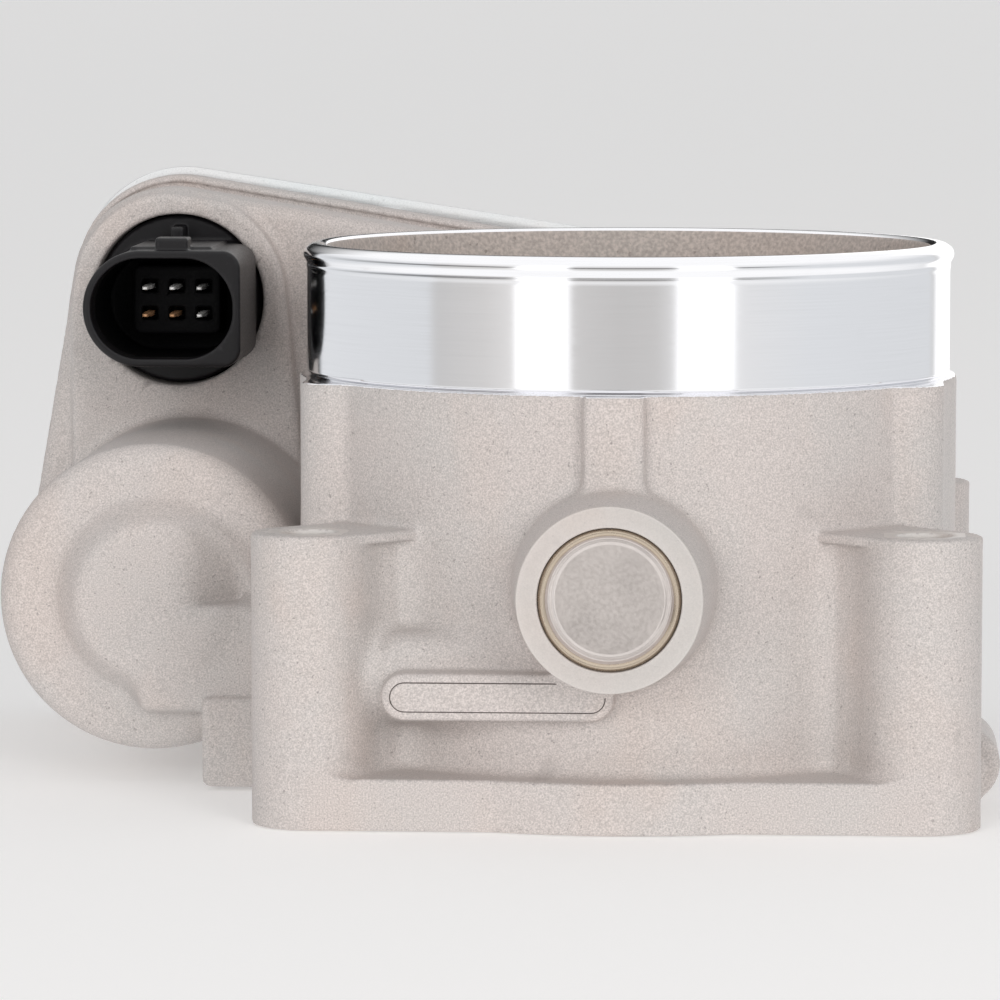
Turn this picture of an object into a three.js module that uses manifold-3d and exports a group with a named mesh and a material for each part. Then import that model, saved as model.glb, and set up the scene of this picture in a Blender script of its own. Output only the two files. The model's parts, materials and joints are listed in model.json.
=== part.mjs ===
// Electronic throttle body for a large petrol engine.
// Row frame: millimetres, +Z up along the bore from the manifold face to the intake spigot,
// -Y towards the plugged end of the throttle shaft, +Y towards the gear cover.
// The origin is the bore axis on the manifold face.
import * as THREE from 'three';
import { mergeVertices } from 'three/addons/utils/BufferGeometryUtils.js';
import Module from 'manifold-3d';

const wasm = await Module();
wasm.setup();

// ---- Driving dimensions (mm, degrees) ----

const FIT_GAP = 0.3; // clearance between two pieces that touch or fit
const BORE_R = 41;
const MOUTH_FLARE = 1.15; // how much wider the mouth is than the bore
const MOUTH_DEPTH = 5;
const BARREL_WALL = 5;
const BODY_HEIGHT = 76.3;
const SPIGOT_LENGTH = 18.3;
const SPIGOT_WALL = 4;
const BEAD_RISE = 0.6;
const BEAD_HEIGHT = 4.2;

const BOLT_PITCH = 82; // square bolt pattern
const BOLT_BOSS_R = 7.85;
const BOLT_BOSS_HEIGHT = 39.3;
const BOLT_HOLE_R = 3.4;
const BOSS_FILLET_R = 8;
const FLANGE_THICKNESS = 7;
const FLANGE_LAND = 10.4; // flange width round the bore

const SHAFT_R = 5;
const SHAFT_TIP_STEP = 1; // step down to the end that carries the sector gear
const PLATE_THICKNESS = 2.2;
const PLATE_CLEARANCE = 0.3;
const REST_ANGLE = 7; // limp-home opening of the plate
const OPEN_TRAVEL = 80; // from rest to wide open
const PLATE_SCREW_OFFSET = 20;
const PLATE_SCREW_R = 2;

const SHAFT_BOSS_WALL = 2.8; // round the core plug
const SHAFT_BOSS_DRAFT = 1.4;
const SHAFT_BOSS_LENGTH = 15.1; // beyond the barrel
const PLUG_DEPTH = 4.6;
const PLUG_RIM = 1.8;
const NEEDLE_RING = 3; // thickness of the needle bearing and the seals
const BEARING_LENGTH = 9;
const SEAL_LENGTH = 3;
const BALL_RING = 4.5; // thickness of the ball bearing, inside to outside
const BALL_BEARING_WIDTH = 5;

const MODULE = 1; // gear module
const PINION_TEETH = 12;
const SMALL_TEETH = 16;
const ADDENDUM = 0.8;
const DEDENDUM = 1.15;
const TOOTH_BACKLASH = 0.25;
const SECTOR_MARGIN = 10; // spare teeth angle past each end of the travel
const FIRST_LEG_ANGLE = 172; // shaft to intermediate axis
const SECOND_LEG_ANGLE = 199; // intermediate axis to motor axis

const GEAR_WALL_SETBACK = 2.3; // front face of the gear housing behind the barrel
const WALL_THICKNESS = 4.7;
const CHAMBER_DEPTH = 15;
const SIDE_WALL = 3;
const LIP_WIDTH = 1.5;
const LIP_DEPTH = 6;
const COVER_RISE = 2; // the cover's top edge stands above the housing's lip
const COVER_DEPTH = 8.7;
const COVER_WALL = 2.7;
const GASKET_THICKNESS = 0.7;
const COVER_SCREW_R = 2;
const COVER_BOSS_R = 4.2;

const MOTOR_R = 18;
const MOTOR_POCKET_WALL = 2.5;
const MOTOR_FRONT_Y = -5;
const MOTOR_SHAFT_R = 1.6;
const DOME_STEP = 6.5; // ring of plain face round the dome
const DOME_SLOPE = 5.8;
const DOME_HEIGHT = 6;

const CONNECTOR_R = 12.45;
const CONNECTOR_SHIFT_X = -2; // connector axis from the motor axis
const CONNECTOR_SPACING = 5.25; // between the motor pocket and the connector
const CONNECTOR_RING = 3.75;
const CONNECTOR_RING_HEIGHT = 2.5;
const SHROUD_WIDTH = 23;
const SHROUD_HEIGHT = 16.9;
const SHROUD_FRONT_Y = 22;
const SHROUD_WALL = 1.1;
const PIN_PITCH = 4;
const PIN_WIDTH = 1;
const PIN_THICKNESS = 0.6;

const SPRING_WIRE_R = 0.9;
const SPRING_TURNS = 2.5;
const BUSH_WALL = 1;

const FINE = 44; // facets round a large circle
const MEDIUM = 24;
const COARSE = 12;

// ---- Places that follow from the driving dimensions ----

const BARREL_R = BORE_R + BARREL_WALL;
const SPIGOT_R = BORE_R + SPIGOT_WALL;
const BEAD_R = SPIGOT_R + BEAD_RISE;
const MOUTH_R = BORE_R + MOUTH_FLARE;
const SHAFT_TIP_R = SHAFT_R - SHAFT_TIP_STEP;
const BEARING_R = SHAFT_R + NEEDLE_RING;
const BALL_BEARING_R = SHAFT_R + BALL_RING;
const PLUG_R = BEARING_R + 1.4;
const PLUG_RECESS_R = PLUG_R - PLUG_RIM;
const SHAFT_BOSS_R = PLUG_R + SHAFT_BOSS_WALL;
const SHAFT_BOSS_BASE_R = SHAFT_BOSS_R + SHAFT_BOSS_DRAFT;
const WALL_FRONT_Y = BARREL_R + GEAR_WALL_SETBACK;
const BOLT = BOLT_PITCH / 2;
const SPIGOT_Z = BODY_HEIGHT - SPIGOT_LENGTH;
const SHAFT_BOSS_Y = -(BARREL_R + SHAFT_BOSS_LENGTH);
const CHAMBER_Y = WALL_FRONT_Y + WALL_THICKNESS;
const PARTING_Y = CHAMBER_Y + CHAMBER_DEPTH;
const GASKET_Y = PARTING_Y + FIT_GAP;
const COVER_Y = GASKET_Y + GASKET_THICKNESS + FIT_GAP;
const COVER_BACK_Y = COVER_Y + COVER_DEPTH;
const COVER_INNER_Y = COVER_BACK_Y - COVER_WALL;

const radians = (degrees) => degrees * Math.PI / 180;
const pitchRadius = (teeth) => MODULE * teeth / 2;
const along = (from, distance, degrees) => ({
  x: from.x + distance * Math.cos(radians(degrees)),
  z: from.z + distance * Math.sin(radians(degrees)),
});
const MOTOR_BORE_R = MOTOR_R + 1;
const MOTOR_POCKET_R = MOTOR_BORE_R + MOTOR_POCKET_WALL;

// The two gear legs reach from the shaft to a motor that lies close beside the barrel.
const MOTOR_REACH = BARREL_R + MOTOR_POCKET_R - 0.5;
const LEG_TEETH = Math.round(2 * MOTOR_REACH / MODULE
  / (-Math.cos(radians(FIRST_LEG_ANGLE)) - Math.cos(radians(SECOND_LEG_ANGLE))));
const SECTOR_TEETH = LEG_TEETH - SMALL_TEETH;
const LARGE_TEETH = LEG_TEETH - PINION_TEETH;
const SHAFT_Z = pitchRadius(SECTOR_TEETH) + 6; // the sector clears the manifold face
const MESH_SLACK = 0.1; // extra centre distance, for running clearance
const SHAFT_AXIS = { x: 0, z: SHAFT_Z };
const MIDDLE_AXIS = along(SHAFT_AXIS,
  pitchRadius(SECTOR_TEETH) + pitchRadius(SMALL_TEETH) + MESH_SLACK, FIRST_LEG_ANGLE);
const MOTOR_AXIS = along(MIDDLE_AXIS,
  pitchRadius(LARGE_TEETH) + pitchRadius(PINION_TEETH) + MESH_SLACK, SECOND_LEG_ANGLE);
const CONNECTOR_AXIS = {
  x: MOTOR_AXIS.x + CONNECTOR_SHIFT_X,
  z: MOTOR_AXIS.z + MOTOR_POCKET_R + CONNECTOR_R + CONNECTOR_SPACING,
};
const CONNECTOR_RING_R = CONNECTOR_R + CONNECTOR_RING;
const DOME_BASE_R = MOTOR_POCKET_R - DOME_STEP;
const DOME_TOP_R = DOME_BASE_R - DOME_SLOPE;
const MOTOR_FLOOR_Y = MOTOR_FRONT_Y + 3;

// Depths of the parts along the shaft, from the chamber floor to the cover.
const BEARING_BOSS_R = BALL_BEARING_R + FIT_GAP + 2.7;
const BEARING_BOSS_Y = CHAMBER_Y + BALL_BEARING_WIDTH + 1;
const SHOULDER_Y = BEARING_BOSS_Y + 1.5;
const SECTOR_Y = SHOULDER_Y + FIT_GAP;
const SECTOR_WIDTH = 5.5;
const NUT_Y = SECTOR_Y + SECTOR_WIDTH + FIT_GAP;
const NUT_WIDTH = 1.7;
const SHAFT_END_Y = NUT_Y + NUT_WIDTH - 0.2;
const LARGE_GEAR_Y = NUT_Y + NUT_WIDTH + 0.6;
const LARGE_GEAR_WIDTH = 3.8;
const BOARD_THICKNESS = 1.2;

// ---- Materials ----

const material = (color, roughness, metalness) =>
  new THREE.MeshStandardMaterial({ color, roughness, metalness });
const MATERIALS = {
  casting: material(0xc9c1bb, 0.6, 0.8),
  machined: material(0xd9dade, 0.25, 1),
  plug: material(0xb9b1a6, 0.4, 0.9),
  steel: material(0x9fa2a6, 0.35, 1),
  darkSteel: material(0x4a4b4e, 0.5, 0.9),
  brass: material(0xc2a258, 0.35, 1),
  copper: material(0xb26b43, 0.4, 1),
  blackPlastic: material(0x17181a, 0.5, 0),
  palePlastic: material(0xcfc9b8, 0.6, 0),
  rubber: material(0x1b1b1b, 0.85, 0),
  board: material(0x24523a, 0.6, 0),
  magnet: material(0x3a3b3f, 0.7, 0.4),
};

// ---- Geometry helpers ----

// A closed solid from a three.js geometry, with its faces turned outwards.
function solid(geometry) {
  const bare = geometry.index ? geometry.toNonIndexed() : geometry.clone();
  for (const name of Object.keys(bare.attributes)) {
    if (name !== 'position') bare.deleteAttribute(name);
  }
  const merged = mergeVertices(bare, 1e-4);
  const points = merged.attributes.position.array;
  const corners = [];
  let volume = 0;
  const index = merged.index.array;
  for (let i = 0; i < index.length; i += 3) {
    const [a, b, c] = [index[i], index[i + 1], index[i + 2]];
    if (a === b || b === c || c === a) continue;
    corners.push(a, b, c);
    const p = [a, b, c].map((k) => new THREE.Vector3().fromArray(points, k * 3));
    volume += p[0].dot(p[1].cross(p[2]));
  }
  if (volume < 0) {
    for (let i = 0; i < corners.length; i += 3) {
      [corners[i], corners[i + 1]] = [corners[i + 1], corners[i]];
    }
  }
  return new wasm.Manifold(new wasm.Mesh({
    numProp: 3,
    vertProperties: new Float32Array(points),
    triVerts: new Uint32Array(corners),
  }));
}

const group = new THREE.Group();

// Adds one named piece, made of a solid, to the assembly.
function piece(name, body, look) {
  const result = body.getMesh();
  const geometry = new THREE.BufferGeometry();
  geometry.setAttribute('position', new THREE.BufferAttribute(result.vertProperties, 3));
  geometry.setIndex(new THREE.BufferAttribute(result.triVerts, 1));
  geometry.computeVertexNormals();
  const mesh = new THREE.Mesh(geometry, look);
  mesh.name = name;
  group.add(mesh);
}

const union = (...bodies) => bodies.reduce((sum, body) => sum.add(body));
const cut = (body, ...tools) => tools.reduce((rest, tool) => rest.subtract(tool), body);

// A shape drawn in X and Z, extruded along Y.
function prismY(shape, y0, y1, curveSegments = COARSE) {
  const geometry = new THREE.ExtrudeGeometry(shape,
    { depth: y1 - y0, bevelEnabled: false, curveSegments });
  geometry.rotateX(Math.PI / 2);
  geometry.translate(0, y1, 0);
  return solid(geometry);
}

// A shape drawn in X and Y, extruded along Z.
function prismZ(shape, z0, z1, curveSegments = COARSE) {
  const geometry = new THREE.ExtrudeGeometry(shape,
    { depth: z1 - z0, bevelEnabled: false, curveSegments });
  geometry.translate(0, 0, z0);
  return solid(geometry);
}

// A profile of [radius, y] points turned round an axis along Y.
function turnedY(profile, axis, facets = MEDIUM) {
  const points = profile.map(([r, y]) => new THREE.Vector2(r, y));
  const geometry = new THREE.LatheGeometry(points, facets);
  geometry.translate(axis.x, 0, axis.z);
  return solid(geometry);
}

// A profile of [radius, z] points turned round the bore axis.
function turnedZ(profile, facets = FINE) {
  const points = profile.map(([r, z]) => new THREE.Vector2(r, z));
  const geometry = new THREE.LatheGeometry(points, facets);
  geometry.rotateX(Math.PI / 2);
  return solid(geometry);
}

const discY = (r, y0, y1, axis, facets = MEDIUM) =>
  turnedY([[0, y0], [r, y0], [r, y1], [0, y1]], axis, facets);
const ringY = (inner, outer, y0, y1, axis, facets = MEDIUM) =>
  turnedY([[inner, y0], [outer, y0], [outer, y1], [inner, y1], [inner, y0]], axis, facets);

function discZ(r, z0, z1, x = 0, y = 0, facets = COARSE) {
  const geometry = new THREE.CylinderGeometry(r, r, z1 - z0, facets);
  geometry.rotateX(Math.PI / 2);
  geometry.translate(x, y, (z0 + z1) / 2);
  return solid(geometry);
}

function block(x0, x1, y0, y1, z0, z1) {
  const geometry = new THREE.BoxGeometry(x1 - x0, y1 - y0, z1 - z0);
  geometry.translate((x0 + x1) / 2, (y0 + y1) / 2, (z0 + z1) / 2);
  return solid(geometry);
}

// The convex outline round a set of circles, each grown by the same offset.
function outlineRound(circles, offset) {
  const points = [];
  for (const { x, z, r } of circles) {
    for (let i = 0; i < MEDIUM; i += 1) {
      const angle = 2 * Math.PI * i / MEDIUM;
      points.push([x + (r + offset) * Math.cos(angle), z + (r + offset) * Math.sin(angle)]);
    }
  }
  points.sort((a, b) => a[0] - b[0] || a[1] - b[1]);
  const turn = (a, b, c) => (b[0] - a[0]) * (c[1] - a[1]) - (b[1] - a[1]) * (c[0] - a[0]);
  const chain = (list) => {
    const kept = [];
    for (const point of list) {
      while (kept.length > 1 && turn(kept.at(-2), kept.at(-1), point) <= 1e-9) kept.pop();
      kept.push(point);
    }
    return kept.slice(0, -1);
  };
  const hull = [...chain(points), ...chain(points.toReversed())];
  return new THREE.Shape(hull.map(([x, z]) => new THREE.Vector2(x, z)));
}

// A rectangle with rounded corners, centred on (x, y), with one radius for each side.
function roundedRectangle(x, y, width, height, leftRadius, rightRadius = leftRadius) {
  const [x0, x1, y0, y1] = [x - width / 2, x + width / 2, y - height / 2, y + height / 2];
  const shape = new THREE.Shape();
  shape.moveTo(x0 + leftRadius, y0);
  shape.lineTo(x1 - rightRadius, y0);
  shape.absarc(x1 - rightRadius, y0 + rightRadius, rightRadius, -Math.PI / 2, 0);
  shape.absarc(x1 - rightRadius, y1 - rightRadius, rightRadius, 0, Math.PI / 2);
  shape.lineTo(x0 + leftRadius, y1);
  shape.absarc(x0 + leftRadius, y1 - leftRadius, leftRadius, Math.PI / 2, Math.PI);
  shape.absarc(x0 + leftRadius, y0 + leftRadius, leftRadius, Math.PI, 1.5 * Math.PI);
  return shape;
}

// Points of one involute tooth flank, as radius and half angle from the tooth's middle.
function flank(teeth) {
  const pitch = pitchRadius(teeth);
  const pressure = radians(20);
  const base = pitch * Math.cos(pressure);
  const involute = (angle) => Math.tan(angle) - angle;
  const halfAtPitch = (Math.PI * MODULE / 2 - TOOTH_BACKLASH) / (2 * pitch);
  const halfAt = (r) => halfAtPitch + involute(pressure)
    - involute(Math.acos(Math.min(1, base / r)));
  const root = pitch - DEDENDUM * MODULE;
  const tip = pitch + ADDENDUM * MODULE;
  const start = Math.max(root + 0.2, base);
  const radii = [pitch, tip];
  return [{ r: root, half: halfAt(start) }, ...radii.map((r) => ({ r, half: halfAt(r) }))];
}

// Toothed outline. One tooth's middle points at the phase angle. A sector has teeth only
// between two angles, and a plain hub elsewhere.
function gearShape(axis, teeth, phase, sector = null) {
  const side = flank(teeth);
  const points = [];
  const put = (r, angle) => points.push(new THREE.Vector2(
    axis.x + r * Math.cos(angle), axis.z + r * Math.sin(angle)));
  const step = 2 * Math.PI / teeth;
  let [first, last] = [0, teeth - 1];
  if (sector) {
    first = Math.ceil((radians(sector.from) - radians(phase)) / step);
    last = Math.floor((radians(sector.to) - radians(phase)) / step);
  }
  for (let i = first; i <= last; i += 1) {
    const middle = radians(phase) + i * step;
    for (const { r, half } of side) put(r, middle - half);
    for (const { r, half } of side.toReversed()) put(r, middle + half);
  }
  if (sector) {
    const start = radians(phase) + (last + 0.5) * step;
    const end = radians(phase) + (first - 0.5) * step + 2 * Math.PI;
    const root = side[0].r;
    put(root, start);
    put(sector.hub * 1.6, start + 0.15);
    const hubSteps = 12;
    for (let i = 1; i < hubSteps; i += 1) {
      put(sector.hub, start + 0.4 + (end - start - 0.8) * i / hubSteps);
    }
    put(sector.hub * 1.6, end - 0.15);
    put(root, end);
  }
  return new THREE.Shape(points);
}

// ---- Housing ----

// The section of the lower block: the barrel, four bolt bosses and the fillets between.
function lowerSection() {
  const shape = new THREE.Shape();
  const bossDistance = BOLT * Math.SQRT2;
  const [near, far] = [BOLT_BOSS_R + BOSS_FILLET_R, BARREL_R + BOSS_FILLET_R];
  const reach = (far ** 2 - near ** 2 + bossDistance ** 2) / (2 * bossDistance);
  const side = Math.sqrt(far ** 2 - reach ** 2);
  const spread = Math.atan2(side, reach);
  for (let corner = 0; corner < 4; corner += 1) {
    const middle = Math.PI / 4 + corner * Math.PI / 2;
    const boss = new THREE.Vector2(bossDistance, 0).rotateAround(new THREE.Vector2(), middle);
    for (const sign of [-1, 1]) {
      const angle = middle + sign * spread;
      const centre = new THREE.Vector2(far, 0).rotateAround(new THREE.Vector2(), angle);
      const toBarrel = angle + Math.PI;
      const toBoss = Math.atan2(boss.y - centre.y, boss.x - centre.x);
      if (sign < 0) {
        shape.absarc(centre.x, centre.y, BOSS_FILLET_R, toBarrel, toBoss, true);
        const bossStart = toBoss + Math.PI;
        const bossEnd = 2 * middle - bossStart;
        shape.absarc(boss.x, boss.y, BOLT_BOSS_R, bossStart, bossEnd, false);
      } else {
        shape.absarc(centre.x, centre.y, BOSS_FILLET_R, toBoss, toBarrel, true);
        const next = middle + Math.PI / 2 - spread;
        shape.absarc(0, 0, BARREL_R, angle, next, false);
      }
    }
  }
  return shape;
}

// The circles that the gear housing's outline wraps. The last leaves room for a cover screw
// above the large gear.
const LARGE_TIP_R = pitchRadius(LARGE_TEETH) + ADDENDUM * MODULE;
const GEAR_TO_EDGE = 2 * COVER_BOSS_R + 0.4;
const EDGE_ROUND_R = 20;
const HOUSING_CIRCLES = [
  { x: CONNECTOR_AXIS.x - 1.7, z: CONNECTOR_AXIS.z + 3.7, r: CONNECTOR_R + 2 },
  { ...MOTOR_AXIS, r: MOTOR_BORE_R + 6.2 },
  { x: SHAFT_AXIS.x, z: SHAFT_AXIS.z, r: pitchRadius(SECTOR_TEETH) + 5 },
  { x: SHAFT_AXIS.x - 2, z: SHAFT_AXIS.z + pitchRadius(SECTOR_TEETH) + 2, r: 9.3 },
  { x: MIDDLE_AXIS.x, z: MIDDLE_AXIS.z + LARGE_TIP_R + GEAR_TO_EDGE - EDGE_ROUND_R, r: EDGE_ROUND_R },
];
const housingOutline = (offset) => outlineRound(HOUSING_CIRCLES, offset);
const coverOutline = (offset) => outlineRound(HOUSING_CIRCLES.map((circle) =>
  (circle.z > SHAFT_Z ? { ...circle, z: circle.z + COVER_RISE } : circle)), offset);
const FLOOR_CLEARANCE = 0.4; // the gear housing stays this far above the manifold face
const belowFlange = block(-300, 300, BOLT + BOLT_BOSS_R, 300, -100, FLOOR_CLEARANCE);

// Where a ray from a point leaves the housing's outline grown by an offset.
function outlinePoint(from, degrees, offset) {
  const corners = housingOutline(offset).getPoints();
  const ray = { x: Math.cos(radians(degrees)), z: Math.sin(radians(degrees)) };
  let reach = 0;
  corners.forEach((a, i) => {
    const b = corners[(i + 1) % corners.length];
    const edge = { x: b.x - a.x, z: b.y - a.y };
    const across = ray.x * edge.z - ray.z * edge.x;
    if (Math.abs(across) < 1e-9) return;
    const toCorner = { x: a.x - from.x, z: a.y - from.z };
    const distance = (toCorner.x * edge.z - toCorner.z * edge.x) / across;
    const share = (toCorner.x * ray.z - toCorner.z * ray.x) / across;
    if (share >= 0 && share <= 1) reach = Math.max(reach, distance);
  });
  return along(from, reach, degrees);
}

const SCREW_INSET = -COVER_BOSS_R; // the screw bosses touch the outline from inside
const COVER_SCREWS = [
  outlinePoint(MIDDLE_AXIS, 98, SCREW_INSET),
  outlinePoint(SHAFT_AXIS, 92, SCREW_INSET),
  outlinePoint(SHAFT_AXIS, 25, SCREW_INSET),
  outlinePoint(SHAFT_AXIS, -38, SCREW_INSET),
  outlinePoint(MIDDLE_AXIS, 246, SCREW_INSET),
  outlinePoint(MOTOR_AXIS, 122, SCREW_INSET),
];
const MOTOR_SCREWS = [130, -20].map((degrees) => along(MOTOR_AXIS, MOTOR_BORE_R + 4, degrees));
const MOTOR_SCREW_R = 1.5;
const STOP_PIN_R = 2;
const STOP_ARM_R = 20;
const SECTOR_FROM = FIRST_LEG_ANGLE - OPEN_TRAVEL - SECTOR_MARGIN;
const SECTOR_TO = FIRST_LEG_ANGLE + REST_ANGLE + SECTOR_MARGIN;
const STOP_PIN = along(SHAFT_AXIS, STOP_ARM_R, SECTOR_FROM - REST_ANGLE - 13);
const MIDDLE_PIN_R = 2.5;
const MIDDLE_BOSS_R = 6;
const WEB_Y = MOTOR_FRONT_Y - DOME_HEIGHT;
const LUG = { x: BOLT + BOLT_BOSS_R - 2.3, z: 7, r: 5.2, hole: 2.2, y0: -30, y1: -12 };
const PAD = { x: -15.3, z: 18.1, width: 31, height: 6.3 };
const PAD_RISE = 3.4;
const RIB_WIDTH = 8;
const RIB_RISE = 1.5;
const WEB_HEIGHT = 13.3;
const FOOT_WIDTH = 11;
const FOOT_HEIGHT = 10.5;
const FOOT_FRONT_Y = -10;

function throttleHousing() {
  const flangeHalf = BOLT + BOLT_BOSS_R;
  const beadZ = BODY_HEIGHT - BEAD_HEIGHT;
  const barrel = turnedZ([
    [0, 0], [BARREL_R, 0], [BARREL_R, SPIGOT_Z], [SPIGOT_R, SPIGOT_Z], [SPIGOT_R, beadZ],
    [BEAD_R, beadZ + 0.8], [BEAD_R, BODY_HEIGHT - 0.9], [BEAD_R - 0.9, BODY_HEIGHT],
    [0, BODY_HEIGHT],
  ]);
  const lower = prismZ(lowerSection(), 0, BOLT_BOSS_HEIGHT, 3);
  const flange = union(
    prismZ(roundedRectangle(0, 0, 2 * flangeHalf, 2 * flangeHalf, BOLT_BOSS_R),
      0, FLANGE_THICKNESS, 3),
    discZ(BORE_R + FLANGE_LAND, 0, FLANGE_THICKNESS, 0, 0, FINE),
  );

  const shaftBoss = turnedY([
    [0, -BORE_R - 2], [SHAFT_BOSS_BASE_R + 1, -BORE_R - 2], [SHAFT_BOSS_BASE_R, -BARREL_R],
    [SHAFT_BOSS_R, SHAFT_BOSS_Y + 0.5], [SHAFT_BOSS_R - 0.5, SHAFT_BOSS_Y], [0, SHAFT_BOSS_Y],
  ], SHAFT_AXIS);
  const ribY = -BARREL_R - RIB_RISE;
  const rib = block(-RIB_WIDTH / 2, RIB_WIDTH / 2, ribY, -BORE_R - 2, SHAFT_Z + 5, SPIGOT_Z - FIT_GAP);
  const pad = prismY(roundedRectangle(PAD.x, PAD.z, PAD.width, PAD.height, PAD.height / 2 - 0.05),
    -BARREL_R - PAD_RISE, -BORE_R + 8, 4);
  const mound = prismY(roundedRectangle(PAD.x, PAD.z, PAD.width + 5, PAD.height + 3.7,
    PAD.height / 2 + 1.75), -BARREL_R + 2, -BORE_R + 10, 4);
  const padMound = cut(mound, block(-1, BARREL_R, -BARREL_R, 0, 0, SPIGOT_Z));

  const pocket = turnedY([
    [0, WEB_Y], [DOME_TOP_R, WEB_Y], [DOME_BASE_R, MOTOR_FRONT_Y],
    [MOTOR_POCKET_R - 4, MOTOR_FRONT_Y], [MOTOR_POCKET_R - 1.2, MOTOR_FRONT_Y + 1.2],
    [MOTOR_POCKET_R, MOTOR_FRONT_Y + 4], [MOTOR_POCKET_R, CHAMBER_Y], [0, CHAMBER_Y],
  ], MOTOR_AXIS, FINE);
  const webTop = MOTOR_AXIS.z - 0.7;
  const web = block(MOTOR_AXIS.x, -BARREL_R + 8, WEB_Y, 20, webTop - WEB_HEIGHT, webTop);
  const footLeft = -BOLT - BOLT_BOSS_R - FOOT_WIDTH;
  const foot = block(footLeft, -BOLT, FOOT_FRONT_Y, WALL_FRONT_Y + 1, FLOOR_CLEARANCE, FOOT_HEIGHT);
  const lug = turnedY([[0, LUG.y0], [LUG.r, LUG.y0], [LUG.r, LUG.y1], [0, LUG.y1]], LUG, COARSE);

  const gearBox = union(
    prismY(housingOutline(0), WALL_FRONT_Y, PARTING_Y),
    prismY(housingOutline(LIP_WIDTH), PARTING_Y - LIP_DEPTH, PARTING_Y),
    discY(CONNECTOR_RING_R, WALL_FRONT_Y - CONNECTOR_RING_HEIGHT, CHAMBER_Y, CONNECTOR_AXIS),
  );
  const bridgeHalf = 0.63 * BARREL_R;
  const bridge = block(-bridgeHalf, bridgeHalf, BORE_R + 2, CHAMBER_Y - 1, FLANGE_THICKNESS + 1,
    SPIGOT_Z - 3);
  const chamber = cut(
    prismY(housingOutline(-SIDE_WALL), CHAMBER_Y, PARTING_Y + 1),
    discY(BEARING_BOSS_R, CHAMBER_Y - 1, BEARING_BOSS_Y, SHAFT_AXIS),
    discY(MIDDLE_BOSS_R, CHAMBER_Y - 1, SHOULDER_Y, MIDDLE_AXIS),
    ...COVER_SCREWS.map((at) => discY(COVER_BOSS_R, CHAMBER_Y - 1, PARTING_Y, at, COARSE)),
  );

  const body = cut(union(barrel, lower, flange, shaftBoss, rib, pad, padMound, pocket, web, foot,
    gearBox, bridge), belowFlange, chamber);
  const withLug = union(body, lug);

  const bore = turnedZ([
    [0, -1], [BORE_R, -1], [BORE_R, BODY_HEIGHT - MOUTH_DEPTH], [MOUTH_R, BODY_HEIGHT],
    [MOUTH_R, BODY_HEIGHT + 1], [0, BODY_HEIGHT + 1],
  ]);
  const bolts = [-BOLT, BOLT].flatMap((x) => [-BOLT, BOLT].map((y) =>
    discZ(BOLT_HOLE_R, -1, BOLT_BOSS_HEIGHT + 1, x, y, COARSE)));
  const plugBottom = SHAFT_BOSS_Y + PLUG_DEPTH + 1;
  const shaftBore = turnedY([
    [0, SHAFT_BOSS_Y - 1], [PLUG_R + FIT_GAP, SHAFT_BOSS_Y - 1],
    [PLUG_R + FIT_GAP, plugBottom], [BEARING_R + FIT_GAP, plugBottom],
    [BEARING_R + FIT_GAP, -BORE_R - 1.5], [SHAFT_R + 0.6, -BORE_R - 1.5],
    [SHAFT_R + 0.6, BORE_R + 4.5], [BEARING_R + FIT_GAP, BORE_R + 4.5],
    [BEARING_R + FIT_GAP, CHAMBER_Y], [BALL_BEARING_R + FIT_GAP, CHAMBER_Y],
    [BALL_BEARING_R + FIT_GAP, BEARING_BOSS_Y + 1], [0, BEARING_BOSS_Y + 1],
  ], SHAFT_AXIS);
  const motorBore = turnedY([
    [0, MOTOR_FLOOR_Y - 4], [7, MOTOR_FLOOR_Y - 4], [7, MOTOR_FLOOR_Y],
    [MOTOR_BORE_R, MOTOR_FLOOR_Y], [MOTOR_BORE_R, CHAMBER_Y + 1], [0, CHAMBER_Y + 1],
  ], MOTOR_AXIS, FINE);
  const connectorBore = discY(CONNECTOR_R + FIT_GAP, WALL_FRONT_Y - 10, CHAMBER_Y + 1,
    CONNECTOR_AXIS);
  const middleHole = discY(MIDDLE_PIN_R + FIT_GAP, WALL_FRONT_Y + 1.5, SHOULDER_Y + 1,
    MIDDLE_AXIS, COARSE);
  const coverHoles = COVER_SCREWS.map((at) =>
    discY(COVER_SCREW_R + FIT_GAP, CHAMBER_Y + 4, PARTING_Y + 1, at, COARSE));
  const motorHoles = MOTOR_SCREWS.map((at) =>
    discY(MOTOR_SCREW_R + FIT_GAP, WALL_FRONT_Y + 0.8, CHAMBER_Y + 1, at, COARSE));
  const stopHole = discY(STOP_PIN_R + FIT_GAP, WALL_FRONT_Y + 0.8, CHAMBER_Y + 1,
    STOP_PIN, COARSE);
  const lugHole = discY(LUG.hole, LUG.y0 - 1, LUG.y1 + 1, LUG, COARSE);

  return cut(withLug, bore, ...bolts, shaftBore, motorBore, connectorBore, middleHole,
    ...coverHoles, ...motorHoles, stopHole, lugHole);
}

piece('throttle_housing', throttleHousing(), MATERIALS.casting);

// ---- Shaft end on the plug side ----

const plugOuterY = SHAFT_BOSS_Y + 0.2;
piece('core_plug', turnedY([
  [0, plugOuterY + PLUG_DEPTH], [PLUG_R, plugOuterY + PLUG_DEPTH], [PLUG_R, plugOuterY + 0.5],
  [PLUG_R - 0.5, plugOuterY], [PLUG_RECESS_R + 0.5, plugOuterY],
  [PLUG_RECESS_R, plugOuterY + 0.8], [0, plugOuterY + 0.8],
], SHAFT_AXIS), MATERIALS.plug);

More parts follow.
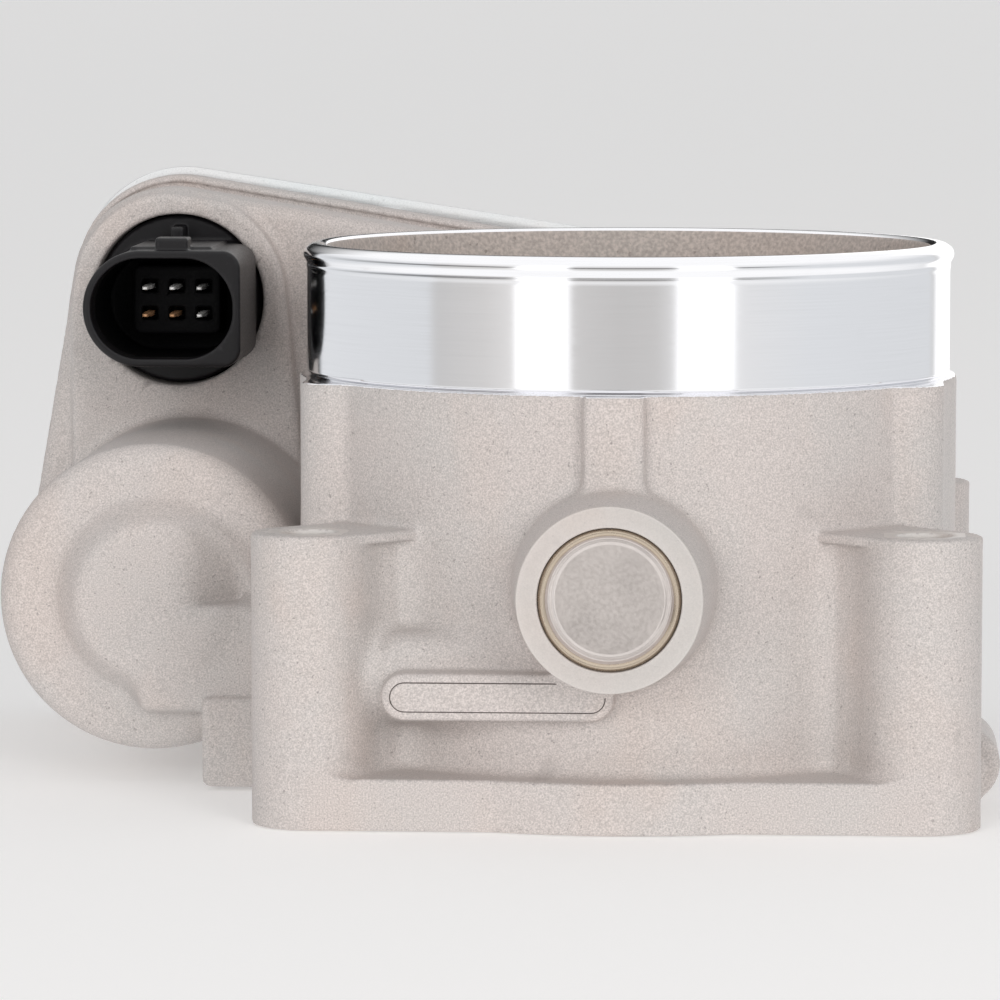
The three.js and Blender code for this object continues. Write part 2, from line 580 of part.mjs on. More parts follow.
const frontBearingY = SHAFT_BOSS_Y + PLUG_DEPTH + 1.2;
piece('front_needle_bearing', ringY(SHAFT_R + FIT_GAP, BEARING_R,
  frontBearingY, frontBearingY + BEARING_LENGTH, SHAFT_AXIS), MATERIALS.steel);
const frontSealY = -BORE_R - 1.5 - FIT_GAP;
piece('front_shaft_seal', ringY(SHAFT_R + FIT_GAP, BEARING_R,
  frontSealY - SEAL_LENGTH + 0.4, frontSealY, SHAFT_AXIS), MATERIALS.rubber);

// ---- Throttle shaft and plate ----

const tilted = (body) => body.translate(0, 0, -SHAFT_Z).rotate(0, -REST_ANGLE, 0)
  .translate(0, 0, SHAFT_Z);
const shaftFrontY = frontBearingY + 0.5;
const plateRadius = BORE_R - PLATE_CLEARANCE;
const slotHalf = PLATE_THICKNESS / 2 + FIT_GAP;
const screwYs = [-PLATE_SCREW_OFFSET, PLATE_SCREW_OFFSET];
const plateHoles = screwYs.map((y) =>
  discZ(PLATE_SCREW_R + FIT_GAP, SHAFT_Z - SHAFT_R - 1, SHAFT_Z + SHAFT_R + 1, 0, y));
const shaftBar = turnedY([
  [0, shaftFrontY], [SHAFT_R - 0.6, shaftFrontY], [SHAFT_R, shaftFrontY + 0.6],
  [SHAFT_R, SHOULDER_Y], [SHAFT_TIP_R, SHOULDER_Y], [SHAFT_TIP_R, SHAFT_END_Y], [0, SHAFT_END_Y],
], SHAFT_AXIS, COARSE);
const slot = block(-SHAFT_R - 1, SHAFT_R + 1, -plateRadius - FIT_GAP, plateRadius + FIT_GAP,
  SHAFT_Z - slotHalf, SHAFT_Z + slotHalf);
piece('throttle_shaft', tilted(cut(shaftBar, slot, ...plateHoles)), MATERIALS.steel);

const plate = discZ(plateRadius, SHAFT_Z - PLATE_THICKNESS / 2, SHAFT_Z + PLATE_THICKNESS / 2,
  0, 0, FINE);
piece('throttle_plate', tilted(cut(plate, ...plateHoles)), MATERIALS.brass);

screwYs.forEach((y, i) => {
  const headZ = SHAFT_Z + SHAFT_R + FIT_GAP;
  const screw = union(
    discZ(PLATE_SCREW_R, SHAFT_Z - SHAFT_R, headZ + 0.5, 0, y),
    discZ(PLATE_SCREW_R * 1.8, headZ, headZ + 1.6, 0, y));
  const recess = discZ(1, headZ + 0.7, headZ + 2, 0, y, 6);
  piece(`plate_screw_${i + 1}`, tilted(cut(screw, recess)), MATERIALS.darkSteel);
});

// ---- Gear side of the shaft ----

piece('rear_shaft_seal', ringY(SHAFT_R + FIT_GAP, BEARING_R, BORE_R + 4.5 + FIT_GAP,
  BORE_R + 4.5 + FIT_GAP + SEAL_LENGTH, SHAFT_AXIS), MATERIALS.rubber);
piece('rear_ball_bearing', ringY(SHAFT_R + FIT_GAP, BALL_BEARING_R, CHAMBER_Y + FIT_GAP,
  CHAMBER_Y + FIT_GAP + BALL_BEARING_WIDTH, SHAFT_AXIS), MATERIALS.steel);
const bushInner = BEARING_BOSS_R + FIT_GAP;
const bushOuter = bushInner + BUSH_WALL;
piece('spring_bush', ringY(bushInner, bushOuter, CHAMBER_Y + FIT_GAP, BEARING_BOSS_Y + 0.6, SHAFT_AXIS),
  MATERIALS.blackPlastic);

// A coil along the shaft axis, as a bar swept along a helix.
class Helix extends THREE.Curve {
  constructor(axis, radius, y0, pitch, turns) {
    super();
    Object.assign(this, { axis, radius, y0, pitch, turns });
  }

  getPoint(t, target = new THREE.Vector3()) {
    const angle = 2 * Math.PI * this.turns * t;
    return target.set(
      this.axis.x + this.radius * Math.cos(angle),
      this.y0 + this.pitch * this.turns * t,
      this.axis.z + this.radius * Math.sin(angle));
  }
}

function coil(axis, radius, wire, y0, pitch, turns, stepsPerTurn) {
  const section = new THREE.Shape();
  section.absarc(0, 0, wire, 0, 2 * Math.PI);
  const path = new Helix(axis, radius, y0, pitch, turns);
  return solid(new THREE.ExtrudeGeometry(section, {
    steps: Math.round(turns * stepsPerTurn), extrudePath: path, curveSegments: 3,
    bevelEnabled: false,
  }));
}

const springPitch = 2 * SPRING_WIRE_R + FIT_GAP;
piece('return_spring', coil(SHAFT_AXIS, bushOuter + FIT_GAP + SPRING_WIRE_R, SPRING_WIRE_R,
  CHAMBER_Y + FIT_GAP + SPRING_WIRE_R, springPitch, SPRING_TURNS, 18), MATERIALS.darkSteel);

const sectorHub = SHAFT_TIP_R + 5.5;
const boreCut = (r, y0, y1, axis) => discY(r, y0 - 1, y1 + 1, axis, COARSE);
const sectorBody = prismY(gearShape(SHAFT_AXIS, SECTOR_TEETH, FIRST_LEG_ANGLE,
  { from: SECTOR_FROM, to: SECTOR_TO, hub: sectorHub }), SECTOR_Y, SECTOR_Y + SECTOR_WIDTH);
piece('sector_gear', cut(sectorBody,
  boreCut(SHAFT_TIP_R + FIT_GAP, SECTOR_Y, SECTOR_Y + SECTOR_WIDTH, SHAFT_AXIS)),
MATERIALS.palePlastic);
piece('shaft_nut', cut(discY(6.2, NUT_Y, NUT_Y + NUT_WIDTH, SHAFT_AXIS, 6),
  boreCut(SHAFT_TIP_R + FIT_GAP, NUT_Y, NUT_Y + NUT_WIDTH, SHAFT_AXIS)), MATERIALS.steel);
piece('sensor_magnet', discY(SHAFT_TIP_R - 0.4, SHAFT_END_Y + FIT_GAP, SHAFT_END_Y + 3.2, SHAFT_AXIS,
  COARSE), MATERIALS.magnet);
piece('stop_pin', discY(STOP_PIN_R, WALL_FRONT_Y + 1.1, SECTOR_Y + 4, STOP_PIN, COARSE),
  MATERIALS.steel);

// ---- Intermediate gear ----

const boardY = COVER_INNER_Y - FIT_GAP - BOARD_THICKNESS;
const middlePinEnd = COVER_INNER_Y - FIT_GAP;
piece('intermediate_pin', discY(MIDDLE_PIN_R, WALL_FRONT_Y + 1.8, middlePinEnd, MIDDLE_AXIS, COARSE),
  MATERIALS.steel);
const smallTooth = FIRST_LEG_ANGLE + 180 + 180 / SMALL_TEETH;
const smallGear = prismY(gearShape(MIDDLE_AXIS, SMALL_TEETH, smallTooth),
  SECTOR_Y, LARGE_GEAR_Y + 0.5);
const largeGear = prismY(gearShape(MIDDLE_AXIS, LARGE_TEETH, SECOND_LEG_ANGLE),
  LARGE_GEAR_Y, LARGE_GEAR_Y + LARGE_GEAR_WIDTH);
piece('intermediate_gear', cut(union(smallGear, largeGear),
  boreCut(MIDDLE_PIN_R + FIT_GAP, SECTOR_Y, LARGE_GEAR_Y + LARGE_GEAR_WIDTH, MIDDLE_AXIS)),
MATERIALS.palePlastic);

// ---- Motor ----

const canFrontY = MOTOR_FLOOR_Y + 1.6;
const canBackY = CHAMBER_Y - 0.6;
const canWall = 1.4;
const hubR = 4.5;
const endPlateY = CHAMBER_Y + FIT_GAP;
const endPlateThickness = 1.6;
piece('motor_can', turnedY([
  [MOTOR_SHAFT_R + FIT_GAP, canFrontY - 3], [hubR, canFrontY - 3], [hubR, canFrontY],
  [MOTOR_R - 1, canFrontY], [MOTOR_R, canFrontY + 1], [MOTOR_R, canBackY],
  [MOTOR_R - canWall, canBackY], [MOTOR_R - canWall, canFrontY + canWall],
  [MOTOR_SHAFT_R + FIT_GAP, canFrontY + canWall], [MOTOR_SHAFT_R + FIT_GAP, canFrontY - 3],
], MOTOR_AXIS), MATERIALS.steel);

const plateRound = discY(MOTOR_BORE_R + 1, endPlateY, endPlateY + endPlateThickness, MOTOR_AXIS);
const plateEars = MOTOR_SCREWS.map((at) =>
  discY(MOTOR_SCREW_R + 2, endPlateY, endPlateY + endPlateThickness, at, COARSE));
const plateCuts = MOTOR_SCREWS.map((at) =>
  boreCut(MOTOR_SCREW_R + FIT_GAP, endPlateY, endPlateY + endPlateThickness, at));
piece('motor_end_plate', cut(union(plateRound, ...plateEars),
  boreCut(MOTOR_SHAFT_R + FIT_GAP, endPlateY, endPlateY + endPlateThickness, MOTOR_AXIS),
  ...plateCuts), MATERIALS.steel);

// A pan-head screw along Y, with its head's underside at headY.
function screwY(at, r, tipY, headY, headHeight) {
  const body = union(discY(r, tipY, headY + 0.5, at, COARSE),
    discY(r * 1.75, headY, headY + headHeight, at, COARSE));
  return cut(body, discY(r * 0.9, headY + headHeight * 0.45, headY + headHeight + 1, at, 6));
}
MOTOR_SCREWS.forEach((at, i) => piece(`motor_screw_${i + 1}`,
  screwY(at, MOTOR_SCREW_R, WALL_FRONT_Y + 1.1, endPlateY + endPlateThickness + FIT_GAP, 1.8),
  MATERIALS.darkSteel));

const magnetY = canFrontY + canWall + 4;
const magnetEnd = magnetY + 30;
const magnetOuter = MOTOR_R - canWall - FIT_GAP;
const magnetInner = magnetOuter - 3.2;
[-90, 90].forEach((middle, i) => {
  const shape = new THREE.Shape();
  const half = radians(68);
  const centre = radians(middle);
  shape.absarc(MOTOR_AXIS.x, MOTOR_AXIS.z, magnetOuter, centre - half, centre + half, false);
  shape.absarc(MOTOR_AXIS.x, MOTOR_AXIS.z, magnetInner, centre + half, centre - half, true);
  piece(`motor_magnet_${i + 1}`, prismY(shape, magnetY, magnetEnd, 6), MATERIALS.magnet);
});

const rotorBore = MOTOR_SHAFT_R + FIT_GAP;
const pinionY = LARGE_GEAR_Y - 0.3;
const pinionEnd = LARGE_GEAR_Y + LARGE_GEAR_WIDTH + 0.3;
piece('motor_shaft', discY(MOTOR_SHAFT_R, canFrontY - 2.4, pinionEnd + 0.3, MOTOR_AXIS, COARSE),
  MATERIALS.steel);
const armatureR = magnetInner - 0.6;
const slots = Array.from({ length: 5 }, (_, i) => {
  const at = along(MOTOR_AXIS, armatureR - 0.6, 72 * i);
  return boreCut(1.5, magnetY, magnetEnd, at);
});
piece('motor_armature', cut(ringY(rotorBore, armatureR, magnetY + 1, magnetEnd - 1, MOTOR_AXIS),
  ...slots), MATERIALS.copper);
piece('motor_commutator', ringY(rotorBore, 6, magnetEnd + 3, magnetEnd + 9, MOTOR_AXIS, COARSE),
  MATERIALS.copper);
const pinionTooth = SECOND_LEG_ANGLE + 180 + 180 / PINION_TEETH;
piece('motor_pinion', cut(prismY(gearShape(MOTOR_AXIS, PINION_TEETH, pinionTooth), pinionY, pinionEnd),
  boreCut(rotorBore, pinionY, pinionEnd, MOTOR_AXIS)), MATERIALS.brass);
piece('motor_wave_spring', ringY(MOTOR_R - 5, MOTOR_R - 1.5, MOTOR_FLOOR_Y + FIT_GAP,
  canFrontY - FIT_GAP, MOTOR_AXIS), MATERIALS.steel);

// ---- Gear cover and what it carries ----

function gearCover() {
  const shell = prismY(coverOutline(LIP_WIDTH), COVER_Y, COVER_BACK_Y);
  const hollow = cut(prismY(housingOutline(-SIDE_WALL), COVER_Y - 1, COVER_INNER_Y),
    ...COVER_SCREWS.map((at) => discY(COVER_BOSS_R, COVER_Y - 2, COVER_BACK_Y, at, COARSE)),
    discY(MIDDLE_BOSS_R - 1, LARGE_GEAR_Y + LARGE_GEAR_WIDTH + FIT_GAP, COVER_BACK_Y, MIDDLE_AXIS,
      COARSE));
  const holes = COVER_SCREWS.map((at) => boreCut(COVER_SCREW_R + FIT_GAP, COVER_Y, COVER_BACK_Y, at));
  const pinSocket = boreCut(MIDDLE_PIN_R + FIT_GAP, COVER_Y, COVER_INNER_Y - 1, MIDDLE_AXIS);
  return cut(shell, hollow, ...holes, pinSocket, belowFlange);
}
piece('gear_cover', gearCover(), MATERIALS.machined);

function coverGasket() {
  const ring = cut(prismY(housingOutline(LIP_WIDTH - 0.4), GASKET_Y, GASKET_Y + GASKET_THICKNESS),
    prismY(housingOutline(-SIDE_WALL + 0.3), GASKET_Y - 1, GASKET_Y + 2));
  const pads = COVER_SCREWS.map((at) =>
    discY(COVER_BOSS_R - 0.2, GASKET_Y, GASKET_Y + GASKET_THICKNESS, at, COARSE));
  const holes = COVER_SCREWS.map((at) =>
    boreCut(COVER_SCREW_R + FIT_GAP, GASKET_Y, GASKET_Y + 1, at));
  return cut(union(ring, ...pads), ...holes, belowFlange);
}
piece('cover_gasket', coverGasket(), MATERIALS.rubber);
COVER_SCREWS.forEach((at, i) => piece(`cover_screw_${i + 1}`,
  screwY(at, COVER_SCREW_R, CHAMBER_Y + 4.5, COVER_BACK_Y + FIT_GAP, 2.6), MATERIALS.steel));

const BOARD = { x: SHAFT_AXIS.x + 4, z: SHAFT_AXIS.z - 1, width: 26, height: 24 };
piece('sensor_board', prismY(roundedRectangle(BOARD.x, BOARD.z, BOARD.width, BOARD.height, 2),
  boardY, boardY + BOARD_THICKNESS, 2), MATERIALS.board);

// ---- Electrical connector ----

const pinCentre = { x: CONNECTOR_AXIS.x + 0.9, z: CONNECTOR_AXIS.z + 0.5 };
const PINS = [0.5, -0.5].flatMap((row) => [-1, 0, 1].map((column) => ({
  x: pinCentre.x + column * PIN_PITCH,
  z: pinCentre.z + row * PIN_PITCH,
})));
const flangeFrontY = WALL_FRONT_Y - 0.2;
const innerFlangeEnd = CHAMBER_Y + FIT_GAP + 2.4;
const pinTipY = SHROUD_FRONT_Y + 8;
const pinEndY = innerFlangeEnd + 3;
const grooveY = WALL_FRONT_Y + 1.4;
const grooveWidth = 2.2;
const sealInner = CONNECTOR_R - 1.9;

function connectorBody() {
  const hub = turnedY([
    [0, flangeFrontY], [CONNECTOR_R, flangeFrontY], [CONNECTOR_R, grooveY],
    [sealInner - FIT_GAP, grooveY], [sealInner - FIT_GAP, grooveY + grooveWidth],
    [CONNECTOR_R, grooveY + grooveWidth], [CONNECTOR_R, CHAMBER_Y + FIT_GAP],
    [CONNECTOR_R + 1.2, CHAMBER_Y + FIT_GAP], [CONNECTOR_R + 1.2, innerFlangeEnd],
    [0, innerFlangeEnd],
  ], CONNECTOR_AXIS);
  const outer = roundedRectangle(CONNECTOR_AXIS.x, CONNECTOR_AXIS.z, SHROUD_WIDTH, SHROUD_HEIGHT,
    SHROUD_HEIGHT / 2 - 0.1, 2.8);
  const inner = roundedRectangle(CONNECTOR_AXIS.x, CONNECTOR_AXIS.z, SHROUD_WIDTH - 2 * SHROUD_WALL,
    SHROUD_HEIGHT - 2 * SHROUD_WALL, SHROUD_HEIGHT / 2 - SHROUD_WALL - 0.1);
  const neckY = WALL_FRONT_Y - CONNECTOR_RING_HEIGHT - 1;
  const neck = prismY(outer, neckY - 1, flangeFrontY + 1, 4)
    .intersect(discY(CONNECTOR_R, neckY - 1, flangeFrontY + 1, CONNECTOR_AXIS));
  const shroud = union(prismY(outer, SHROUD_FRONT_Y, neckY, 4), neck);
  const cavity = prismY(inner, SHROUD_FRONT_Y - 1, flangeFrontY - 2, 4);
  const top = CONNECTOR_AXIS.z + SHROUD_HEIGHT / 2;
  const latch = block(CONNECTOR_AXIS.x - 0.6, CONNECTOR_AXIS.x + 4.2, SHROUD_FRONT_Y + 1,
    SHROUD_FRONT_Y + 6, top - 0.4, top + 1.8);
  const latchRib = block(CONNECTOR_AXIS.x + 2.2, CONNECTOR_AXIS.x + 4.1, SHROUD_FRONT_Y + 3,
    flangeFrontY + 1, top - 0.4, top + 2.6);
  const outside = union(hub, shroud, latch, latchRib);
  const slotsForPins = PINS.map(({ x, z }) => block(
    x - PIN_WIDTH / 2 - FIT_GAP, x + PIN_WIDTH / 2 + FIT_GAP, SHROUD_FRONT_Y + 2, innerFlangeEnd + 1,
    z - PIN_THICKNESS / 2 - FIT_GAP, z + PIN_THICKNESS / 2 + FIT_GAP));
  return cut(outside, cavity, ...slotsForPins);
}
piece('connector_body', connectorBody(), MATERIALS.blackPlastic);
piece('connector_seal', ringY(sealInner, CONNECTOR_R, grooveY + FIT_GAP,
  grooveY + grooveWidth - FIT_GAP, CONNECTOR_AXIS), MATERIALS.rubber);
PINS.forEach(({ x, z }, i) => piece(`connector_pin_${i + 1}`, block(
  x - PIN_WIDTH / 2, x + PIN_WIDTH / 2, pinTipY, pinEndY,
  z - PIN_THICKNESS / 2, z + PIN_THICKNESS / 2), MATERIALS.brass));

// The conductor strip that joins the connector's pins to the sensor board.
const strip = new THREE.Shape();
const stripHalf = 3;
const stripX = CONNECTOR_AXIS.x + PIN_PITCH;
const boardTop = BOARD.z + BOARD.height / 2 + FIT_GAP;
strip.moveTo(stripX, CONNECTOR_AXIS.z - stripHalf);
strip.lineTo(stripX, CONNECTOR_AXIS.z + stripHalf);
strip.lineTo(BOARD.x - 10, boardTop + 2 * stripHalf);
strip.lineTo(BOARD.x - 2, boardTop);
strip.lineTo(BOARD.x - 12, boardTop);
piece('lead_frame', prismY(strip, boardY, boardY + BOARD_THICKNESS), MATERIALS.copper);

export default group;
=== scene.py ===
"""The looks of an electronic throttle body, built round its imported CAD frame.

Lengths are millimetres in the row frame (+Z up along the bore, -Y towards the plugged shaft end)
until a mesh is made, and metres after that.
"""
import json
import math

import bmesh
import bpy
import numpy as np
import openvdb
from mathutils import Matrix, Vector


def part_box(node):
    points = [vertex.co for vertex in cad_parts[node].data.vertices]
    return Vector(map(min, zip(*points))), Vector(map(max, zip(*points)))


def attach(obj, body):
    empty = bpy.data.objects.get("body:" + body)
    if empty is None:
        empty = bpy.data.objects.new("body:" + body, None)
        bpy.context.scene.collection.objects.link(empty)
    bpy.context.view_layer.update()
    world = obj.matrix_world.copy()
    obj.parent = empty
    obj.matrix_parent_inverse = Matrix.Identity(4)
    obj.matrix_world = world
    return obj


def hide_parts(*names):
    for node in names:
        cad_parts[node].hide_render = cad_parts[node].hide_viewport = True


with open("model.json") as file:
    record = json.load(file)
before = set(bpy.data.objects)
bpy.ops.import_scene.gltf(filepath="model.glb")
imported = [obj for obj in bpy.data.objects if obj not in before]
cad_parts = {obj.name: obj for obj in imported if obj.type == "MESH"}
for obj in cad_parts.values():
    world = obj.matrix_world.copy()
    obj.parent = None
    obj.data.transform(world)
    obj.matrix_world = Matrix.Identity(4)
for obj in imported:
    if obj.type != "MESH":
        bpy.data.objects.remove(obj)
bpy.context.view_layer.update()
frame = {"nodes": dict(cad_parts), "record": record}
MM = 0.001


def box(node):
    """Lowest and highest corner of a CAD node, in millimetres."""
    low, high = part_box(node)
    return np.array(low) / MM, np.array(high) / MM


def axis_of(node):
    """The X and Z of a piece that is round about an axis along Y."""
    low, high = box(node)
    middle = (low + high) / 2
    return middle[0], middle[2]


# ---- Places and sizes ----

HOUSING_LOW, HOUSING_HIGH = box("throttle_housing")
SHAFT = axis_of("rear_ball_bearing")
MOTOR = axis_of("motor_can")
MIDDLE = axis_of("intermediate_pin")
CONNECTOR = axis_of("connector_seal")
COVER_SCREWS = [f"cover_screw_{i}" for i in range(1, 7)]
CONTACTS = [f"connector_pin_{i}" for i in range(1, 7)]

BORE_R = 41.0
BARREL_R = 46.0
SPIGOT_R = 45.0
BEAD_R = 45.6
MOUTH_R = 42.15
TOP_Z = 76.3
SHOULDER_Z = TOP_Z - 18.3
BOLT = 41.0
BOLT_BOSS_R = 7.85
BOLT_HOLE_R = 3.4
LEDGE_Z = 39.3
LEDGE_THICKNESS = 1.4
FLUTE_FILLET = 2.2
NECK_HALF = 5.87
FLANGE_Z = 7.0
FLANGE_ROUND_R = 51.4
SIDE_PAD_X = 44.0
SIDE_PAD_Y = 27.2
SIDE_PAD_CORNER = 6.0
BOSS_FACE_Y = HOUSING_LOW[1]
BOSS_FACE_R = 12.2
BOSS_BASE_R = 13.6
BOSS_END = 1.2
BOSS_FLARE = (BOSS_BASE_R - BOSS_FACE_R) / (-BARREL_R - BOSS_FACE_Y)
PLUG_R = 9.4
RIB_HALF = 4.1
RIB_FRONT_Y = -48.5
MOUND_LOW, MOUND_HIGH, MOUND_FRONT_Y = (-34.5, 13.5), (2, 26), -44.4
PAD_LOW, PAD_HIGH, PAD_FRONT_Y = (-30.8, 14.95), (0.2, 21.25), -49.4
FOOT_LOW, FOOT_HIGH, FOOT_FRONT_Y = (-59, 0.4), (-40, 13.0), -12.6
LUG_CENTRE, LUG_R = (46.5, 7), 5.2
WALL_Y = 48.3
PLATEAU_Y = 45.8
CHAMBER_Y = 53.0
PARTING_Y = 68.0
POCKET_R = 21.7
POCKET_FRONT_Y = -5.0
DOME_BASE_R = 14.4
DOME_TOP_R = 10.4
DOME_FRONT_Y = -11.0
DOME_CENTRE = (MOTOR[0] + 0.8, MOTOR[1] + 0.4)
WEB_LOW, WEB_HIGH = (-68, 10.8), (-38, 25.5)
SIDE_WALL = 3.0
LIP_WIDTH = 1.5
UNDERSIDE_Z = 0.4
COVER_BOSS_R = 4.2
COVER_HOLE_R = 2.3
SHAFT_R = 5.0
# Radius, start and end of the bores round the shaft: core plug, front bearing, shaft, rear bearing and
# spring bush.
SHAFT_BORES = [(PLUG_R + 0.15, -70, -55.5), (8.3, -70, -42.5), (5.6, -70, 80), (8.3, 45.5, 80),
               (9.8, CHAMBER_Y, 80)]


# ---- Solids as distance fields ----
# A field holds the signed distance to a surface on a grid, so that shapes join with true fillets.

def flat_round(u, v, centre, r):
    return np.hypot(u - centre[0], v - centre[1]) - r


def flat_rounds(x, z, nodes, r):
    """Distance to the nearest of some circles, each round the axis of a node."""
    return np.minimum.reduce([flat_round(x, z, axis_of(node), r) for node in nodes])


def flat_box(u, v, low, high, r=0.0):
    """Distance to a rectangle with rounded corners."""
    a = np.abs(u - (low[0] + high[0]) / 2) - (high[0] - low[0]) / 2 + r
    b = np.abs(v - (low[1] + high[1]) / 2) - (high[1] - low[1]) / 2 + r
    return np.hypot(np.maximum(a, 0), np.maximum(b, 0)) + np.minimum(np.maximum(a, b), 0) - r


def slab(flat, along, low, high, edge=0.0):
    """A flat distance drawn out between two levels, with rounded rims."""
    a = flat + edge
    b = np.abs(along - (low + high) / 2) - (high - low) / 2 + edge
    return np.hypot(np.maximum(a, 0), np.maximum(b, 0)) + np.minimum(np.maximum(a, b), 0) - edge


def join(a, b, r=0.0):
    """Union, with a fillet of radius r."""
    if r == 0:
        return np.minimum(a, b)
    near = np.hypot(np.maximum(r - a, 0), np.maximum(r - b, 0))
    return np.maximum(r, np.minimum(a, b)) - near


def meet(a, b, r=0.0):
    """Intersection, with its edge rounded to radius r."""
    return -join(-a, -b, r)


def hull_of(circles, offset):
    """Corners of the convex outline round circles given as (x, z, radius)."""
    turns = np.linspace(0, 2 * math.pi, 96, endpoint=False)
    points = sorted((x + (r + offset) * math.cos(t), z + (r + offset) * math.sin(t))
                    for x, z, r in circles for t in turns)

    def half(ordered):
        kept = []
        for p in ordered:
            while len(kept) > 1:
                (ax, az), (bx, bz) = kept[-2], kept[-1]
                if (bx - ax) * (p[1] - az) - (bz - az) * (p[0] - ax) > 0:
                    break
                kept.pop()
            kept.append(p)
        return kept[:-1]
    return half(points) + half(points[::-1])


def flat_polygon(u, v, corners):
    """Distance to a convex polygon, its corners in anticlockwise order."""
    outside = np.full(np.broadcast(u, v).shape, 1e6, np.float32)
    inside = np.full(outside.shape, -1e6, np.float32)
    for (ax, ay), (bx, by) in zip(corners, corners[1:] + corners[:1]):
        ex, ey = bx - ax, by - ay
        length = math.hypot(ex, ey)
        if length < 1e-6:
            continue
        share = np.clip(((u - ax) * ex + (v - ay) * ey) / length ** 2, 0, 1)
        outside = np.minimum(outside, np.hypot(u - ax - share * ex, v - ay - share * ey))
        inside = np.maximum(inside, ((u - ax) * ey - (v - ay) * ex) / length)
    return np.where(inside > 0, outside, inside)


def turned_axes(x, y, angle):
    """Coordinates along and across a direction in the X-Y plane."""
    c, s = math.cos(angle), math.sin(angle)
    return x * c + y * s, y * c - x * s


class Solid:
    """A solid on a grid of signed distances."""

    MARGIN = 2.5  # grid steps round the solid
    FAR = 20      # distance that stands for empty space
    BAND = 3      # grid steps on each side of the surface that the mesher reads

    def __init__(self, low, high, step):
        self.low = np.array(low, float) - self.MARGIN * step
        self.step = step
        self.axes = [np.arange(a, b + self.MARGIN * step, step, dtype=np.float32)
                     for a, b in zip(self.low, high)]
        self.field = np.full([len(a) for a in self.axes], self.FAR, np.float32)

    def window(self, bounds=None, margin=0.0):
        """The part of the grid round some bounds, or all of it, and its coordinates."""
        picks = []
        for axis, limits in zip(self.axes, bounds or ((-1e3, 1e3),) * 3):
            first = np.searchsorted(axis, limits[0] - margin)
            last = np.searchsorted(axis, limits[1] + margin)
            picks.append(slice(first, last))
        x, y, z = (axis[pick] for axis, pick in zip(self.axes, picks))
        return tuple(picks), x[:, None, None], y[None, :, None], z[None, None, :]

    def add(self, shape, bounds=None, r=0.0):
        picks, x, y, z = self.window(bounds, r + 2)
        self.field[picks] = join(self.field[picks], shape(x, y, z), r)

    def cut(self, shape, bounds=None, r=0.0):
        picks, x, y, z = self.window(bounds, r + 2)
        self.field[picks] = meet(self.field[picks], -shape(x, y, z), r)

    def mesh(self, name, detail=0.0):
        """The surface as a smooth-shaded object, in metres."""
        reach = self.BAND * self.step
        grid = openvdb.FloatGrid(reach)
        grid.copyFromArray(np.clip(self.field, -reach, reach))
        points, triangles, quads = grid.convertToPolygons(isovalue=0.0, adaptivity=detail)
        corners = [tuple(face[::-1]) for face in quads] + [tuple(face[::-1]) for face in triangles]
        data = bpy.data.meshes.new(name)
        data.from_pydata((self.low + points * self.step) * MM, [], corners)
        data.validate()
        data.update()
        normals = self.slope(points)
        faces = data.polygons[:2000]
        facing = np.array([face.normal for face in faces])
        if (facing * normals[[face.vertices[0] for face in faces]]).sum() < 0:
            data.flip_normals()
        data.shade_smooth()
        data.normals_split_custom_set_from_vertices(normals[: len(data.vertices)].tolist())
        result = bpy.data.objects.new(name, data)
        bpy.context.scene.collection.objects.link(result)
        return result

    def slope(self, points):
        """The field's unit gradient at points given in grid steps."""
        base = np.clip(points.astype(int), 1, np.array(self.field.shape) - 3)
        share = np.clip(points - base, 0, 1)
        total = np.zeros(points.shape)
        for corner in np.ndindex(2, 2, 2):
            at = base + corner
            weight = np.prod(np.where(corner, share, 1 - share), axis=1)
            for k in range(3):
                ahead = at.copy()
                behind = at.copy()
                ahead[:, k] += 1
                behind[:, k] -= 1
                total[:, k] += weight * (self.field[tuple(ahead.T)] - self.field[tuple(behind.T)])
        return total / np.maximum(np.linalg.norm(total, axis=1, keepdims=True), 1e-9)


# ---- Turned and simple pieces ----

def mesh_object(name, points, faces, smooth_degrees=30):
    data = bpy.data.meshes.new(name)
    data.from_pydata([Vector(p) * MM for p in points], [], faces)
    result = bpy.data.objects.new(name, data)
    bpy.context.scene.collection.objects.link(result)
    shell = bmesh.new()
    shell.from_mesh(data)
    bmesh.ops.remove_doubles(shell, verts=shell.verts, dist=1e-7)
    bmesh.ops.recalc_face_normals(shell, faces=shell.faces)
    for face in shell.faces:
        face.smooth = True
    for edge in shell.edges:
        if len(edge.link_faces) == 2 and edge.calc_face_angle() > math.radians(smooth_degrees):
            edge.smooth = False
    shell.to_mesh(data)
    shell.free()
    return result


def softened(profile, r=0.25, parts=3):
    """A profile with its corners cut round. A corner may carry its own radius."""
    result = []
    for i, point in enumerate(profile):
        here = np.array(point[:2], float)
        size = point[2] if len(point) > 2 else r
        if i in (0, len(profile) - 1) or size == 0:
            result.append(tuple(here))
            continue
        before = np.array(profile[i - 1][:2]) - here
        after = np.array(profile[i + 1][:2]) - here
        size = min(size, 0.45 * np.linalg.norm(before), 0.45 * np.linalg.norm(after))
        start = here + before / np.linalg.norm(before) * size
        end = here + after / np.linalg.norm(after) * size
        for k in range(parts + 1):
            t = k / parts
            result.append(tuple((1 - t) ** 2 * start + 2 * t * (1 - t) * here + t ** 2 * end))
    return result


